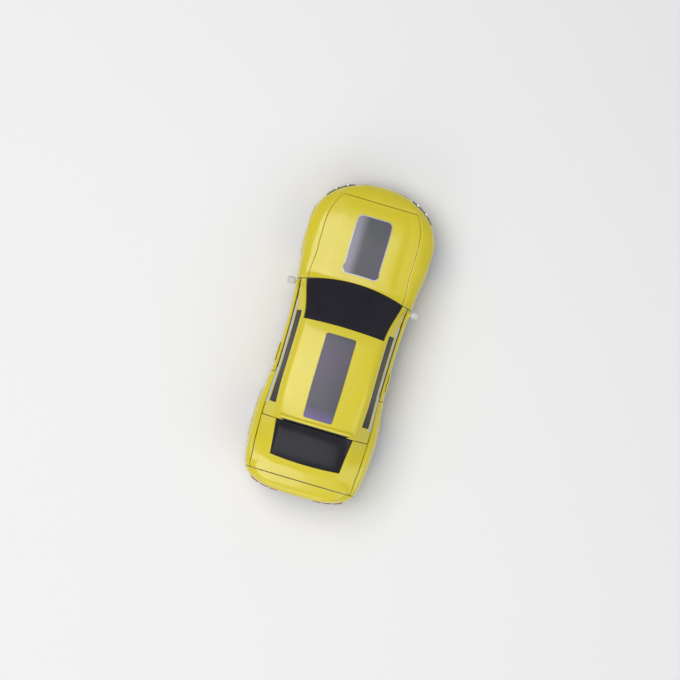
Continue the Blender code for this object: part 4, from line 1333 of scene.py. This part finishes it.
for word, side in SIDES:
    low, high = framed(f"forearm_{word}")
    inner, outer = sorted((abs(low.x), abs(high.x)))
    body = f"forearm_{word}"
    fit(raised_plate(f"forearm_sleeve_{word}", [(4.5, low.z), (24.0, low.z + 0.6),
        (32.0, low.z + 2.2), (32.0, high.z - 2.2), (24.0, high.z - 0.6), (4.5, high.z)],
        side * (inner + 0.2), side * (outer - 0.2), WHITE, axis="X", edge=0.7), body,
        "white_plastic", f"forearm_{word}")
    fit(raised_plate(f"forearm_guard_{word}", [(8.0, low.z + 1.8), (21.0, low.z + 2.2),
        (24.0, 30.0), (21.0, high.z - 2.2), (8.0, high.z - 1.8)], side * inner,
        side * (inner + 1.2), RED, axis="X", edge=0.3), body, "red_plastic")
    fit(soft_block(f"wrist_cuff_{word}", (side * (inner + outer) / 2, 3.2, 30.0), (2.1, 1.6, 3.6),
        GREY, 6.0), body, "grey_plastic")
    fit(soft_block(f"palm_{word}", (side * (inner + outer) / 2, -1.6, 30.0), (2.3, 3.6, 3.9), WHITE,
        5.0), body, "white_plastic")
    for number in range(4):
        fit(soft_block(f"finger_{word}_{number}",
            (side * (inner + 1.5), -5.6, 26.9 + 2.06 * number), (1.5, 2.3, 0.95), WHITE, 3.5, 20,
            12), body, "white_plastic")
    fit(soft_block(f"thumb_{word}", (side * (outer - 1.3), -4.6, 27.6), (1.1, 2.6, 1.2), WHITE, 3.0,
        20, 12), body, "white_plastic")


# ------------------------------------------------------------------ robot legs
# The lower legs are black hollow mouldings screwed to the chassis: a wedge foot, a shin with
# a grey armour plate and a round knee. They stand inside the tail when the toy is a car.

for word, side in SIDES:
    low, high = framed(f"lower_leg_{word}")
    inner, outer = sorted((abs(low.x), abs(high.x)))
    fit(raised_plate(f"foot_{word}", [(37.0, low.z), (66.0, low.z), (66.0, 13.0), (45.0, 14.0),
        (37.0, 8.0)], side * inner, side * outer, BLACK, axis="X", edge=0.6), "base",
        "black_plastic", f"lower_leg_{word}")
    fit(raised_plate(f"shin_{word}", [(39.0, 12.0), (66.0, 11.0), (66.0, high.z), (47.0, high.z),
        (41.0, 46.0)], side * (inner + 0.5), side * (outer - 0.5), BLACK, axis="X", edge=0.6),
        "base", "black_plastic")
    wide = outer - inner
    armour_outline = [(inner + 1.4, 12.4), (outer - 1.4, 12.4), (outer - 0.3, 20.0),
                      (outer - 1.0, 38.0), (inner + wide / 2, 42.0), (inner + 1.0, 38.0),
                      (inner + 0.3, 20.0)]
    fit(raised_plate(f"shin_armour_{word}", [(side * a, b) for a, b in armour_outline], 37.5, 40.0,
        GREY, axis="Y", edge=0.5), "base", "grey_plastic")
    for number in range(3):
        line_z = 17.0 + 5.5 * number
        fit(raised_plate(f"shin_line_{word}_{number}", [(side * (inner + 3.2), line_z),
            (side * (outer - 3.2), line_z), (side * (outer - 3.2), line_z + 2.0),
            (side * (inner + 3.2), line_z + 2.0)], low.y, 38.2, WHITE, axis="Y", edge=0.25), "base",
            "white_plastic")
    fit(raised_plate(f"toe_cap_{word}", [(side * (inner + 0.8), 2.2), (side * (outer - 0.8), 2.2),
        (side * (outer - 1.6), 6.8), (side * (inner + 1.6), 6.8)], low.y - 0.1, 38.0, SILVER_TRIM,
        axis="Y", edge=0.3), "base", "silver_plating")
    fit(turned_piece(f"knee_{word}", (side * inner, 46.5, 47.2), (side, 0.0, 0.0), [(0.1, 4.6),
        (0.6, 5.3), (wide - 0.6, 5.3), (wide - 0.1, 4.6), (wide - 0.1, 2.4), (wide - 0.6, 2.1)],
        GREY), "base", "grey_plastic")


# ------------------------------------------------------------------ mechanism
# Everything under the skins keeps its engineered shape: black and grey ABS frames, steel pins,
# nylon gears and a green board. Only their surfaces are finished here.

NYLON = moulding("natural_nylon", (0.79, 0.77, 0.69), (0.72, 0.69, 0.6), (0.4, 0.55),
                 (0.85, 0.84, 0.8), bump=0.1)
BOARD = moulding("green_solder_mask", (0.015, 0.16, 0.05), (0.01, 0.11, 0.035), (0.3, 0.45),
                 (0.5, 0.4, 0.1), grain=1200.0, bump=0.3)
SLEEVE = moulding("blue_battery_sleeve", (0.02, 0.06, 0.32), (0.015, 0.045, 0.25), (0.2, 0.35),
                  (0.3, 0.35, 0.6), grain=300.0, bump=0.2)
FINISH_OF_SLOT = {
    "yellow_body": YELLOW,
    "black_plastic": BLACK,
    "grey_plastic": GREY,
    "white_plastic": WHITE,
    "red_plastic": RED,
    "silver_plating": SILVER,
    "steel": STEEL,
    "nylon": NYLON,
    "tyre_rubber": RUBBER,
    "lamp_lens": LENS,
    "circuit_board": BOARD,
    "battery_sleeve": SLEEVE,
    "dark_glazing": GLAZING,
    "stripe_plastic": STRIPE_FILM,
}

for entry in frame["record"]["subparts"]:
    finishes = frame["nodes"][entry["node"]].data.materials
    finishes.clear()
    finishes.append(FINISH_OF_SLOT[entry["material_slot"]])
